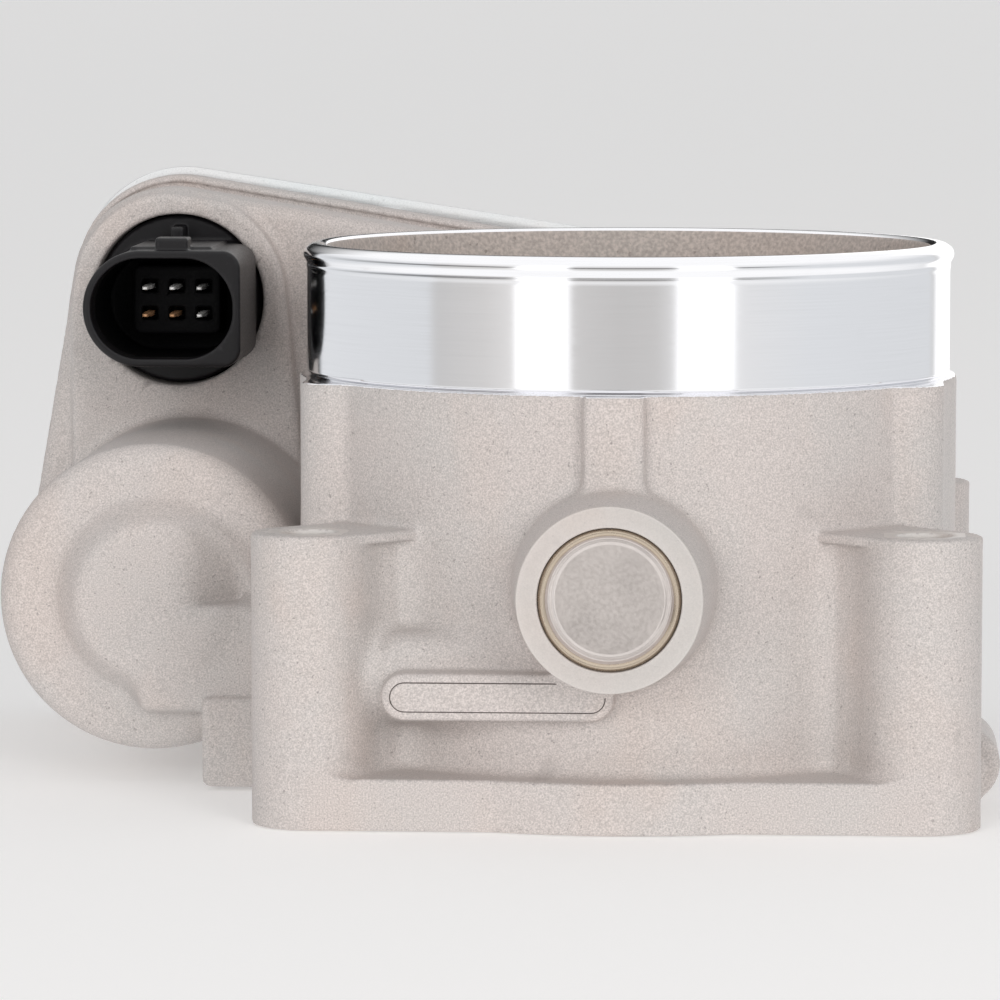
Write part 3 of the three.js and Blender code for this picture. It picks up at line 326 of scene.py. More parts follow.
def turned(name, profile, centre, along="y", segments=160):
    """A profile of (radius, level) turned round an axis along Y or Z."""
    points, faces = [], []
    for r, level in profile:
        for k in range(segments):
            t = 2 * math.pi * k / segments
            u, v = centre[0] + r * math.cos(t), centre[1] + r * math.sin(t)
            points.append((u, level, v) if along == "y" else (u, v, level))
    for i in range(len(profile) - 1):
        for k in range(segments):
            n = (k + 1) % segments
            faces.append((i * segments + k, i * segments + n,
                          (i + 1) * segments + n, (i + 1) * segments + k))
    return mesh_object(name, points, faces)


# ---- Materials ----

class Look:
    """A node material that is built up in steps."""

    def __init__(self, name, colour, roughness, metallic=0.0):
        self.material = bpy.data.materials.new(name)
        self.material.use_nodes = True
        self.tree = self.material.node_tree
        self.shader = self.tree.nodes["Principled BSDF"]
        self.shader.inputs["Metallic"].default_value = metallic
        self.shader.inputs["Roughness"].default_value = roughness
        self.place = self.node("ShaderNodeTexCoord").outputs["Object"]
        self.colour = self.node("ShaderNodeRGB").outputs[0]
        self.colour.default_value = (*colour, 1)
        self.height = None

    def node(self, kind, **settings):
        made = self.tree.nodes.new(kind)
        for key, value in settings.items():
            setattr(made, key, value)
        return made

    def link(self, source, target):
        self.tree.links.new(source, target)

    def stretched(self, stretch):
        mapping = self.node("ShaderNodeMapping")
        mapping.inputs["Scale"].default_value = stretch
        self.link(self.place, mapping.inputs["Vector"])
        return mapping.outputs["Vector"]

    def noise(self, size_mm, detail=2.0, stretch=(1, 1, 1)):
        made = self.node("ShaderNodeTexNoise")
        made.inputs["Scale"].default_value = 1 / (size_mm * MM)
        made.inputs["Detail"].default_value = detail
        self.link(self.stretched(stretch), made.inputs["Vector"])
        return made.outputs["Fac"]

    def between(self, value, low, high, out_low, out_high):
        made = self.node("ShaderNodeMapRange")
        for key, number in zip(("From Min", "From Max", "To Min", "To Max"),
                               (low, high, out_low, out_high)):
            made.inputs[key].default_value = number
        self.link(value, made.inputs["Value"])
        return made.outputs["Result"]

    def tint(self, amount, colour):
        """Mixes a colour in by an amount, which is a socket."""
        mix = self.node("ShaderNodeMix", data_type="RGBA")
        self.link(amount, mix.inputs["Factor"])
        self.link(self.colour, mix.inputs["A"])
        mix.inputs["B"].default_value = (*colour, 1)
        self.colour = mix.outputs["Result"]
        return self

    def bump(self, value, depth_mm):
        made = self.node("ShaderNodeBump")
        made.inputs["Distance"].default_value = depth_mm * MM
        self.link(value, made.inputs["Height"])
        if self.height:
            self.link(self.height, made.inputs["Normal"])
        self.height = made.outputs["Normal"]
        return self

    def rough(self, value, low, high):
        self.link(self.between(value, 0.3, 0.7, low, high), self.shader.inputs["Roughness"])
        return self

    def done(self):
        self.link(self.colour, self.shader.inputs["Base Color"])
        if self.height:
            self.link(self.height, self.shader.inputs["Normal"])
        return self.material


def shaded(colour, factor):
    return tuple(min(1, c * factor) for c in colour)


def cast_metal(name, colour, grain=0.22, depth=0.036, contrast=0.6, metallic=0.2, roughness=0.58):
    """Blasted aluminium casting: light and dark grain, small pits and faint broad stains."""
    red, green, blue = colour
    look = Look(name, colour, roughness, metallic)
    broad = look.noise(24, 3)
    look.tint(look.between(broad, 0.40, 0.62, 0, 0.8), (red * 0.95, green * 0.99, blue))
    warm = look.noise(15, 3, (1, 1, 0.7))
    look.tint(look.between(warm, 0.52, 0.70, 0, 0.8), (red * 1.02, green * 0.985, blue * 0.96))
    fine = look.noise(grain, 2)
    look.tint(look.between(fine, 0.50, 0.66, 0, 0.8 * contrast), shaded(colour, 1.45))
    look.tint(look.between(fine, 0.50, 0.34, 0, 0.8 * contrast), shaded(colour, 0.62))
    pits = look.noise(grain * 2.2, 2)
    look.tint(look.between(pits, 0.66, 0.73, 0, min(0.6, 1.2 * contrast)), shaded(colour, 0.40))
    marks = look.noise(5.5, 4)
    look.tint(look.between(marks, 0.66, 0.78, 0, 0.35), shaded(colour, 0.62))
    look.bump(fine, depth).bump(pits, -depth)
    look.rough(fine, roughness - 0.08, roughness + 0.1)
    return look.done()


def turned_metal(name, colour, roughness, lines=0.16, stretch=(0.01, 0.01, 1), depth=0.0012):
    """Machined metal with fine tool marks that run round it."""
    look = Look(name, colour, roughness, metallic=1.0)
    marks = look.noise(lines, 3, stretch)
    look.tint(look.between(marks, 0.4, 0.75, 0, 0.12), shaded(colour, 0.8))
    stains = look.noise(9, 4)
    look.tint(look.between(stains, 0.6, 0.8, 0, 0.15), shaded(colour, 0.75))
    look.bump(marks, depth)
    look.rough(marks, roughness * 0.75, roughness * 1.5)
    return look.done()


def worn_metal(name, colour, roughness, grain=0.5, metallic=1.0):
    look = Look(name, colour, roughness, metallic)
    look.tint(look.between(look.noise(6, 4), 0.45, 0.7, 0, 0.35), shaded(colour, 0.7))
    scratches = look.noise(grain, 3, (1, 0.2, 1))
    look.bump(scratches, 0.01)
    look.rough(scratches, roughness * 0.8, roughness * 1.3)
    return look.done()


def moulded(name, colour, roughness, grain=0.35, depth=0.012, shine=0.5):
    """Moulded plastic or rubber with a fine eroded texture."""
    look = Look(name, colour, roughness)
    look.shader.inputs["Specular IOR Level"].default_value = shine
    fine = look.noise(grain, 3)
    look.tint(look.between(look.noise(7, 3), 0.4, 0.7, 0, 0.4), shaded(colour, 1.35))
    look.tint(look.between(look.noise(1.1, 4), 0.66, 0.75, 0, 0.5), shaded(colour, 2.2))
    look.bump(fine, depth)
    look.rough(fine, roughness * 0.85, roughness * 1.15)
    return look.done()


CASTING = cast_metal("cast_aluminium", (0.56, 0.514, 0.493))
BORE_SKIN = cast_metal("bore_skin", (0.46, 0.405, 0.375), grain=0.5)
SPIGOT_METAL = turned_metal("turned_spigot", (0.88, 0.88, 0.90), 0.09)
FACED_METAL = cast_metal("faced_aluminium", (0.64, 0.59, 0.56), contrast=0.12, depth=0.01,
                         metallic=0.5, roughness=0.4)
PLUG_METAL = worn_metal("plug_steel", (0.72, 0.665, 0.635), 0.36)
PLUG_RING = worn_metal("plug_ring", (0.58, 0.49, 0.39), 0.3)
# Dark colour for the pad's cut line: painted shade of the groove.
PAINTED_GROOVE_SHADE = worn_metal("painted_groove_shade", (0.17, 0.15, 0.14), 0.6)
COVER_METAL = cast_metal("cover_aluminium", (0.76, 0.76, 0.76), contrast=0.2, depth=0.012,
                         metallic=0.8, roughness=0.4)
STEEL = worn_metal("steel", (0.56, 0.57, 0.58), 0.3)
DARK_STEEL = worn_metal("dark_steel", (0.09, 0.09, 0.10), 0.42)
BRASS = worn_metal("brass", (0.62, 0.47, 0.20), 0.3)
PLATE_METAL = turned_metal("plate_brass", (0.66, 0.53, 0.27), 0.28, lines=0.5, stretch=(1, 1, 0.02))
COPPER = worn_metal("copper", (0.75, 0.42, 0.22), 0.35, metallic=0.5)
TINNED = worn_metal("tinned_contact", (0.95, 0.95, 0.93), 0.25, 0.2, metallic=0.3)
BLACK = moulded("black_plastic", (0.0065, 0.006, 0.007), 0.42, shine=0.36)
# Duller, near-black plastic for the deep inside of the connector's socket: painted shade where little
# light gets in.
PAINTED_SOCKET_SHADE = moulded("painted_socket_shade", (0.002, 0.002, 0.0024), 0.6, shine=0.15)
GEAR_PLASTIC = moulded("gear_plastic", (0.62, 0.58, 0.47), 0.5)
RUBBER = moulded("rubber", (0.012, 0.012, 0.012), 0.75, 0.6, 0.02)
BOARD = moulded("board", (0.02, 0.11, 0.05), 0.5)
MAGNET = worn_metal("magnet", (0.10, 0.10, 0.11), 0.5, metallic=0.4)

SLOT_LOOKS = {
    "cast_aluminium": CASTING, "machined_aluminium": COVER_METAL, "plug_steel": PLUG_METAL,
    "steel": STEEL, "dark_steel": DARK_STEEL, "brass": BRASS, "copper": COPPER,
    "black_plastic": BLACK, "gear_plastic": GEAR_PLASTIC, "rubber": RUBBER, "board": BOARD,
    "magnet": MAGNET,
}
for part in frame["record"]["subparts"]:
    carried = frame["nodes"][part["node"]].data
    carried.materials.clear()
    carried.materials.append(SLOT_LOOKS[part["material_slot"]])


def place(piece, body, looks, replaced=()):
    """Gives a piece its looks, its body and the CAD nodes it stands for."""
    for look in looks:
        piece.data.materials.append(look)
    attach(piece, body)
    if replaced:
        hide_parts(*replaced)
    return piece


# ---- Housing ----

HOUSING_CIRCLES = [
    (CONNECTOR[0] - 1.7, CONNECTOR[1] + 2.0, 14.45),
    (*MOTOR, 25.2),
    (*SHAFT, 31.5),
    (SHAFT[0] - 2, SHAFT[1] + 28.5, 9.3),
]
PLATEAU_CIRCLES = [(*CONNECTOR, 16.2), (*MOTOR, 18.0), (CONNECTOR[0] + 0.5, 40.0, 16.2)]


def lower_section(x, y, z):
    """Barrel, side pads, four bolt bosses and the flange, with the flutes between them."""
    rho = np.hypot(x, y)
    ax, ay = np.abs(x), np.abs(y)
    pads = flat_box(x, y, (-SIDE_PAD_X, -SIDE_PAD_Y), (SIDE_PAD_X, SIDE_PAD_Y), SIDE_PAD_CORNER)
    upper = join(rho - BARREL_R, pads, 0.6)
    corner_pad = flat_polygon(ax, ay, [(20, 20), (37.9, 25), (37.4, 30), (30, 37.4), (25, 37.9)])
    out, across = turned_axes(ax, ay, math.pi / 4)
    neck = flat_box(out, across, (30, -NECK_HALF), (BOLT * math.sqrt(2), NECK_HALF))
    boss = join(flat_round(ax, ay, (BOLT, BOLT), BOLT_BOSS_R), neck, FLUTE_FILLET)
    section = join(join(upper, corner_pad, 0.8), boss, 0.7)
    capped = np.minimum(upper, flat_polygon(ax, ay, hull_of(
        [(BOLT, BOLT, BOLT_BOSS_R), (30, 30, BOLT_BOSS_R)], 0)))
    reach = np.minimum(section, capped)
    cap = slab(reach, z, LEDGE_Z - LEDGE_THICKNESS, LEDGE_Z)
    body = np.minimum(meet(join(upper, z - LEDGE_Z, 1.0), section),
                      np.maximum(join(upper, cap, 1.0), reach))
    edge = BOLT + BOLT_BOSS_R
    outline = np.minimum(np.minimum(reach, rho - FLANGE_ROUND_R),
                         flat_box(x, y, (-edge, -edge), (edge, edge), BOLT_BOSS_R))
    body = meet(join(body, z - FLANGE_Z, 1.8), outline)
    return meet(meet(body, z - SHOULDER_Z, 0.35), -z, 0.3).astype(np.float32)


def shaft_boss(x, y, z):
    cone = flat_round(x, z, SHAFT, BOSS_FACE_R) - BOSS_FLARE * (y - BOSS_FACE_Y)
    return slab(cone, y, BOSS_FACE_Y + BOSS_END, -BARREL_R + 8)


def dome(x, y, z):
    """The end of the motor pocket, which narrows towards the front."""
    slope = (DOME_BASE_R - DOME_TOP_R) / (POCKET_FRONT_Y - DOME_FRONT_Y)
    cone = flat_round(x, z, DOME_CENTRE, DOME_TOP_R) - slope * (y - DOME_FRONT_Y)
    return slab(cone * 0.72, y, DOME_FRONT_Y, POCKET_FRONT_Y + 2, 1.0)


def web(x, y, z):
    """The plate between the dome and the bolt boss, slanted on its left."""
    side = flat_box(x, z, WEB_LOW, WEB_HIGH, 1.6)
    slant = -(x + 70 + (z - WEB_LOW[1]) * 0.25)
    return slab(np.maximum(side, slant) - 0.12 * (y - DOME_FRONT_Y), y, DOME_FRONT_Y, 30, 2.0)


def recess(x, y, z):
    """The hollow in the dome's upper right."""
    ring = flat_round(x, z, MOTOR, DOME_BASE_R - 0.6)
    beside = np.maximum((MOTOR[0] + 6 + 1.1 * (y - DOME_FRONT_Y) - x) * 0.67, 25.9 - z)
    return slab(meet(ring, beside, 2.0), y, -20, POCKET_FRONT_Y + 1.5, 1.0)


def gear_housing(x, y, z):
    """Wall, plateau round the connector and the motor, lip, groove and the bridge to the barrel."""
    past_parting = PARTING_Y + 9
    wall = flat_polygon(x, z, hull_of(HOUSING_CIRCLES, 0))
    lip = flat_polygon(x, z, hull_of(HOUSING_CIRCLES, LIP_WIDTH))
    plateau = flat_polygon(x, z, hull_of(PLATEAU_CIRCLES, 0))
    shape = slab(wall, y, WALL_Y, past_parting, 2.2)
    shape = join(shape, slab(np.maximum(plateau, wall + 0.6), y, PLATEAU_Y, WALL_Y + 6, 1.0), 1.3)
    shape = join(shape, slab(lip, y, PARTING_Y - 6, past_parting, 0.9), 0.3)
    groove = slab(np.abs(wall + 0.05) - 0.5, y, PARTING_Y - 8, PARTING_Y - 5)
    shape = meet(meet(shape, -groove, 0.1), y - PARTING_Y)
    shape = meet(shape, UNDERSIDE_Z - z)
    bridge = slab(flat_box(x, z, (-29, 8), (29, SHOULDER_Z - 3), 3), y, 40, CHAMBER_Y - 1)
    return np.minimum(shape, bridge)


def gear_chamber(x, y, z):
    """The room inside the gear housing, less the posts that stand in it."""
    room = slab(flat_polygon(x, z, hull_of(HOUSING_CIRCLES, -SIDE_WALL)), y, CHAMBER_Y, PARTING_Y + 20)
    posts = slab(flat_round(x, z, SHAFT, 12.5), y, 40, 59)
    posts = np.minimum(posts, slab(flat_round(x, z, MIDDLE, 6), y, 40, 60.5))
    posts = np.minimum(posts, flat_rounds(x, z, COVER_SCREWS, COVER_BOSS_R))
    return np.maximum(room, -posts)


def housing_casting():
    solid = Solid((HOUSING_LOW[0], HOUSING_LOW[1], 0), (HOUSING_HIGH[0], PARTING_Y, HOUSING_HIGH[2]),
                  0.45)

    def raised(low, high, front, back, corner=0.0, rim=0.0, fillet=0.0):
        """Adds a box that is drawn in X-Z and runs back along Y."""
        solid.add(lambda x, y, z: slab(flat_box(x, z, low, high, corner), y, front, back, rim),
                  ((low[0], high[0]), (front, back), (low[1], high[1])), fillet)

    _, x, y, z = solid.window()
    solid.field = lower_section(x, y, z)
    solid.add(shaft_boss, ((-18, 18), (-62, -36), (14, 51)), 1.6)
    raised((-RIB_HALF, SHAFT[1]), (RIB_HALF, SHOULDER_Z + 1), RIB_FRONT_Y, -40, rim=1.1, fillet=1.7)
    raised(MOUND_LOW, MOUND_HIGH, MOUND_FRONT_Y, -25, corner=6.2, rim=4.2, fillet=2.5)
    raised(PAD_LOW, PAD_HIGH, PAD_FRONT_Y, -30, corner=3.1, rim=0.5, fillet=0.9)
    picks, _, _, high = solid.window(((-60, 60), (-60, 60), (55, 70)))
    solid.field[picks] = meet(solid.field[picks], high - SHOULDER_Z + 0.02)

    pocket_span = ((-90, -44), (-6, 52), (3, 49))
    solid.add(lambda x, y, z: slab(flat_round(x, z, MOTOR, POCKET_R), y,
                                   POCKET_FRONT_Y, WALL_Y + 3, 3.2), pocket_span, 2.0)
    solid.add(dome, ((-84, -48), (-12, 4), (8, 46)), 1.1)
    solid.add(web, ((-72, -36), (-12, 30), (8, 30)), 2.4)
    solid.cut(recess, ((-64, -48), (-14, -2), (22, 44)), 1.6)
    raised(FOOT_LOW, FOOT_HIGH, FOOT_FRONT_Y, WALL_Y + 1, corner=1.3, rim=0.8, fillet=0.6)
    solid.add(lambda x, y, z: slab(flat_round(x, z, LUG_CENTRE, LUG_R), y, -30, -12, 0.9),
              ((41, 52), (-31, -11), (1, 13)), 1.0)

    solid.field = meet(join(solid.field, gear_housing(x, y, z), 2.0), -z)
    solid.field = meet(solid.field, -gear_chamber(x, y, z), 0.4)
    solid.cut(lambda x, y, z: np.hypot(x, y) - BORE_R + 0 * z)
    for cx in (-BOLT, BOLT):
        for cy in (-BOLT, BOLT):
            solid.cut(lambda x, y, z, c=(cx, cy): flat_round(x, y, c, BOLT_HOLE_R) + 0 * z,
                      ((cx - 4, cx + 4), (cy - 4, cy + 4), (-2, 45)), 0.5)
    near_shaft = ((-13, 13), (-63, 70), (SHAFT[1] - 13, SHAFT[1] + 13))
    for r, start, end in SHAFT_BORES:
        solid.cut(lambda x, y, z, r=r, s=start, e=end: slab(flat_round(x, z, SHAFT, r), y, s, e),
                  near_shaft)
    solid.cut(lambda x, y, z: slab(flat_round(x, z, MOTOR, 19), y, -2, CHAMBER_Y + 1),
              ((-88, -46), (-3, 55), (5, 47)))
    solid.cut(lambda x, y, z: slab(flat_round(x, z, CONNECTOR, 12.75), y, 38, CHAMBER_Y + 1),
              ((-83, -54), (38, 55), (50, 80)), 0.4)
    for name in COVER_SCREWS:
        cx, cz = axis_of(name)
        solid.cut(lambda x, y, z, c=(cx, cz): slab(flat_round(x, z, c, COVER_HOLE_R), y,
                                                   CHAMBER_Y + 4, 80),
                  ((cx - 3, cx + 3), (56, 70), (cz - 3, cz + 3)))
    return solid.mesh("housing_casting", 0.02)


# Places of the looks in the casting's list of materials.
IN_BORE, FACED, TURNED = 1, 2, 3


def skin_faces(data):
    """Puts the bore's rough skin and the machined faces on the faces that lie on them."""
    centre = np.zeros(len(data.polygons) * 3)
    normal = np.zeros(len(data.polygons) * 3)
    data.polygons.foreach_get("center", centre)
    data.polygons.foreach_get("normal", normal)
    x, y, z = (centre / MM).reshape(-1, 3).T
    upward = normal.reshape(-1, 3)[:, 2]
    rho = np.hypot(x, y)
    index = np.zeros(len(x), np.int32)
    index[rho < BORE_R + 0.3] = IN_BORE
    on_ledge = (np.abs(z - LEDGE_Z) < 0.3) & (upward > 0.9)
    for cx in (-BOLT, BOLT):
        for cy in (-BOLT, BOLT):
            from_bolt = np.hypot(x - cx, y - cy)
            index[on_ledge & (from_bolt < BOLT_HOLE_R + 2.2)] = FACED
            index[from_bolt < BOLT_HOLE_R + 0.25] = FACED
    index[(z < 0.3) & (upward < -0.9)] = FACED
    shoulder = (z > SHOULDER_Z - 0.12) & (z < SHOULDER_Z + 0.5) & (upward > 0.95)
    index[shoulder & (rho > BORE_R + 1)] = TURNED
    data.polygons.foreach_set("material_index", index)


casting = housing_casting()
place(casting, "housing", [CASTING, BORE_SKIN, FACED_METAL, SPIGOT_METAL],
      ["throttle_housing"])
skin_faces(casting.data)

spigot = turned("intake_spigot", softened([
    (BORE_R, SHOULDER_Z - 6, 0), (BORE_R, TOP_Z - 5, 0.6), (MOUTH_R, TOP_Z - 0.4, 0.4),
    (MOUTH_R + 0.8, TOP_Z, 0.4), (BEAD_R - 1.3, TOP_Z, 0.7), (BEAD_R - 0.2, TOP_Z - 0.8, 0.6),
    (BEAD_R, TOP_Z - 1.7, 0.5), (SPIGOT_R + 0.05, TOP_Z - 2.7, 0.4),
    (SPIGOT_R + 0.12, TOP_Z - 3.1, 0.2), (SPIGOT_R, TOP_Z - 3.7, 0.3),
    (SPIGOT_R, SHOULDER_Z + 0.5, 0.3), (SPIGOT_R - 0.5, SHOULDER_Z + 0.05, 0.1),
    (SPIGOT_R - 0.6, SHOULDER_Z - 6, 0), (BORE_R, SHOULDER_Z - 6, 0)], 0.3, 5), (0, 0), "z", 256)
place(spigot, "housing", [SPIGOT_METAL, BORE_SKIN], ["throttle_housing"])
for face in spigot.data.polygons:
    centre = face.center / MM
    if math.hypot(centre.x, centre.y) < MOUTH_R + 0.1 and centre.z < TOP_Z - 0.4:
        face.material_index = 1

# The machined end of the shaft boss, whose edges are sharper than the casting's.
BOSS_RIM_R = BOSS_FACE_R + 0.04
BOSS_END_Y = BOSS_FACE_Y + BOSS_END + 0.05
boss_end = turned("shaft_boss_end", softened([
    (PLUG_R + 0.05, BOSS_FACE_Y + 5, 0), (PLUG_R + 0.05, BOSS_FACE_Y, 0.35),
    (BOSS_RIM_R, BOSS_FACE_Y, 0.3), (BOSS_RIM_R + BOSS_FLARE * BOSS_END, BOSS_END_Y, 0),
    (PLUG_R + 0.05, BOSS_END_Y, 0)], 0.2, 3), SHAFT)
place(boss_end, "housing", [FACED_METAL, CASTING], ["throttle_housing"])
for face in boss_end.data.polygons:
    if face.center.y / MM > BOSS_FACE_Y + 0.35:
        face.material_index = 1


def stadium_loop(low, high, inset, y, parts=24):
    """Points round a box with fully rounded ends, in X-Z."""
    r = (high[1] - low[1]) / 2 - inset
    middle = (low[1] + high[1]) / 2
    points = []
    for x, start in ((high[0] - inset - r, -90), (low[0] + inset + r, 90)):
        for k in range(parts + 1):
            t = math.radians(start + 180 * k / parts)
            points.append((x + r * math.cos(t), y, middle + r * math.sin(t)))
    return points


def ribbon(name, loops):
    """A skin through closed loops of points, each of the same length."""
    points = [p for loop in loops for p in loop]
    n = len(loops[0])
    faces = []
    for i in range(len(loops) - 1):
        for k in range(n):
            m = (k + 1) % n
            faces.append((i * n + k, i * n + m, (i + 1) * n + m, (i + 1) * n + k))
    return mesh_object(name, points, faces)


# The line cut into the long pad's face: a thin band that stands 0.03 mm proud of it, dark to paint the
# shade in the groove.
LINE_FOOT_Y, LINE_FACE_Y = PAD_FRONT_Y + 0.04, PAD_FRONT_Y - 0.03
pad_line = ribbon("pad_line", [
    stadium_loop(PAD_LOW, PAD_HIGH, inset, y) for inset, y in
    ((1.10, LINE_FOOT_Y), (1.15, LINE_FACE_Y), (1.26, LINE_FACE_Y), (1.31, LINE_FOOT_Y),
     (1.10, LINE_FOOT_Y))])
place(pad_line, "housing", [PAINTED_GROOVE_SHADE], ["throttle_housing"])

# ---- Core plug ----

PLUG_FACE_Y = box("core_plug")[0][1]
plug = turned("core_plug_cup", softened([
    (0, PLUG_FACE_Y + 1.35, 0), (7.25, PLUG_FACE_Y + 1.35, 0.3), (7.55, PLUG_FACE_Y + 1.15, 0.3),
    (8.1, PLUG_FACE_Y + 1.3, 0.35), (8.4, PLUG_FACE_Y + 0.3, 0.35), (8.85, PLUG_FACE_Y, 0.5),
    (PLUG_R, PLUG_FACE_Y + 0.4, 0.4), (PLUG_R, PLUG_FACE_Y + 4.4, 0), (0, PLUG_FACE_Y + 4.4, 0)],
    0.3, 5), SHAFT)
place(plug, "housing", [PLUG_METAL, PLUG_RING], ["core_plug"])
PLUG_RING_R = 8.4
for face in plug.data.polygons:
    centre = face.center / MM
    if math.hypot(centre.x - SHAFT[0], centre.z - SHAFT[1]) > PLUG_RING_R:
        face.material_index = 1

# ---- Electrical connector ----

SHROUD_LOW = (CONNECTOR[0] - 11.1, CONNECTOR[1] - 8.45)
SHROUD_HIGH = (CONNECTOR[0] + 11.9, CONNECTOR[1] + 8.45)
SHROUD_FRONT_Y = 22
SHROUD_WALL = 1.15
SOCKET_CORNER = 7.0
SOCKET_FLOOR_Y = 44.0
PLINTH_FRONT_Y = 37
WELL_FLOOR_Y = 41


def flat_shroud(x, z, inset, right_corner):
    """The shroud's outline: round on the left, squarish on the right."""
    low = (SHROUD_LOW[0] + inset, SHROUD_LOW[1] + inset)
    high = (SHROUD_HIGH[0] - inset, SHROUD_HIGH[1] - inset)
    middle = (SHROUD_LOW[0] + SHROUD_HIGH[0]) / 2
    left = flat_box(x, z, low, high, (high[1] - low[1]) / 2 - 0.01)
    right = flat_box(x, z, low, high, right_corner)
    return np.where(x < middle, left, right)


def connector_moulding():
    low, high = box("connector_body")
    solid = Solid(low, high, 0.22)
    _, x, y, z = solid.window()
    cx, cz = CONNECTOR
    top = SHROUD_HIGH[1]

    def block(left, bottom, right, upper, front, back, rim):
        return slab(flat_box(x, z, (cx + left, bottom), (cx + right, upper), 0.3), y, front, back, rim)

    hub = slab(flat_round(x, z, CONNECTOR, 12.45), y, 47.9, 53.6, 0.5)
    hub = join(hub, slab(flat_round(x, z, CONNECTOR, 13.6), y, 53.3, high[1], 0.4))
    shroud = slab(flat_shroud(x, z, 0, 2.7), y, SHROUD_FRONT_Y, 49, 0.45)
    shroud = meet(shroud, np.where(y > 44.5, flat_round(x, z, CONNECTOR, 12.3), -5.0), 0.3)
    body = join(hub, shroud, 0.7)
    latch = block(-0.6, top - 1, 4.2, top + 1.8, 23, 28.2, 0.5)
    stem = block(-0.7, top - 1, 1.15, top + 2.5, 43, 49, 0.4)
    rail = block(-4.5, top - 1, 7.4, top + 0.45, 25.5, 46, 0.3)
    body = join(join(join(body, latch, 0.3), stem, 0.3), rail, 0.3)
    socket = slab(flat_shroud(x, z, SHROUD_WALL, SOCKET_CORNER), y, 10, SOCKET_FLOOR_Y, 0.4)
    plinth = slab(flat_box(x, z, (cx - 5.6, cz - 4.6), (cx + 7.4, cz + 5.6), 1.2), y,
                  PLINTH_FRONT_Y, 50, 0.4)
    body = meet(body, -np.maximum(socket, -plinth), 0.2)
    for name in CONTACTS:
        px, pz = axis_of(name)
        well = slab(flat_box(x, z, (px - 1.15, pz - 0.95), (px + 1.15, pz + 0.95), 0.2), y,
                    10, WELL_FLOOR_Y)
        body = meet(body, -well, 0.1)
    groove = slab(flat_round(x, z, CONNECTOR, 12.6), y, 49.8, 51.8)
    body = meet(body, -np.maximum(groove, -flat_round(x, z, CONNECTOR, 10.6)))
    solid.field = body.astype(np.float32)
    return solid.mesh("connector_moulding", 0.02)


moulding = connector_moulding()
place(moulding, "housing", [BLACK, PAINTED_SOCKET_SHADE], ["connector_body"])
# Faces deep inside the socket take the duller black, which paints the socket's shade.
for face in moulding.data.polygons:
    centre = face.center / MM
    within = flat_shroud(centre.x, centre.z, SHROUD_WALL - 0.1, SOCKET_CORNER) < 0
    if within and SHROUD_FRONT_Y + 5 < centre.y < SOCKET_FLOOR_Y + 0.5:
        face.material_index = 1


def contact_blade(name, node):
    """A flat contact, thinner towards its front."""
    low, high = box(node)
    middle, half = (low + high) / 2, (high - low) / 2
    front = low[1]
    loops = []
    for y, scale in ((high[1], 1), (front + 4, 1), (front + 3.6, 0.75), (front + 1.2, 0.75),
                     (front + 1, 0.6)):
        loops.append([(middle[0] + sx * half[0] * scale, y, middle[2] + sz * half[2] * scale)
                      for sx, sz in ((-1, -1), (1, -1), (1, 1), (-1, 1))])
    blade = ribbon(name, loops)
    ends = bmesh.new()
    ends.from_mesh(blade.data)
    bmesh.ops.holes_fill(ends, edges=ends.edges)
    bmesh.ops.recalc_face_normals(ends, faces=ends.faces)
    ends.to_mesh(blade.data)
    ends.free()
    return blade


BARE_COPPER = (4, 5)
for number, node in enumerate(CONTACTS, 1):
    place(contact_blade(f"contact_{number}", node), "housing",
          [COPPER if number in BARE_COPPER else TINNED], [node])

# ---- Gear cover and its screws ----

COVER_CIRCLES = [
    (CONNECTOR[0] - 1.7, CONNECTOR[1] + 3.05, 14.45),
    (*MOTOR, 25.2),
    (*SHAFT, 31.5),
    (SHAFT[0] - 2, SHAFT[1] + 30.5, 9.3),
]
# Rings raised on the cover's back, over the gears, the motor and the connector, and the ribs between
# them.
COVER_RINGS = [(SHAFT, 17), (MIDDLE, 8), (MOTOR, 18), (CONNECTOR, 12)]
COVER_RIBS = [(SHAFT, MIDDLE), (MIDDLE, MOTOR), (MOTOR, CONNECTOR), (MIDDLE, CONNECTOR)]
COVER_RIB_HALF = 0.9
COVER_STEP = 3.2
COVER_CAP_R = 9


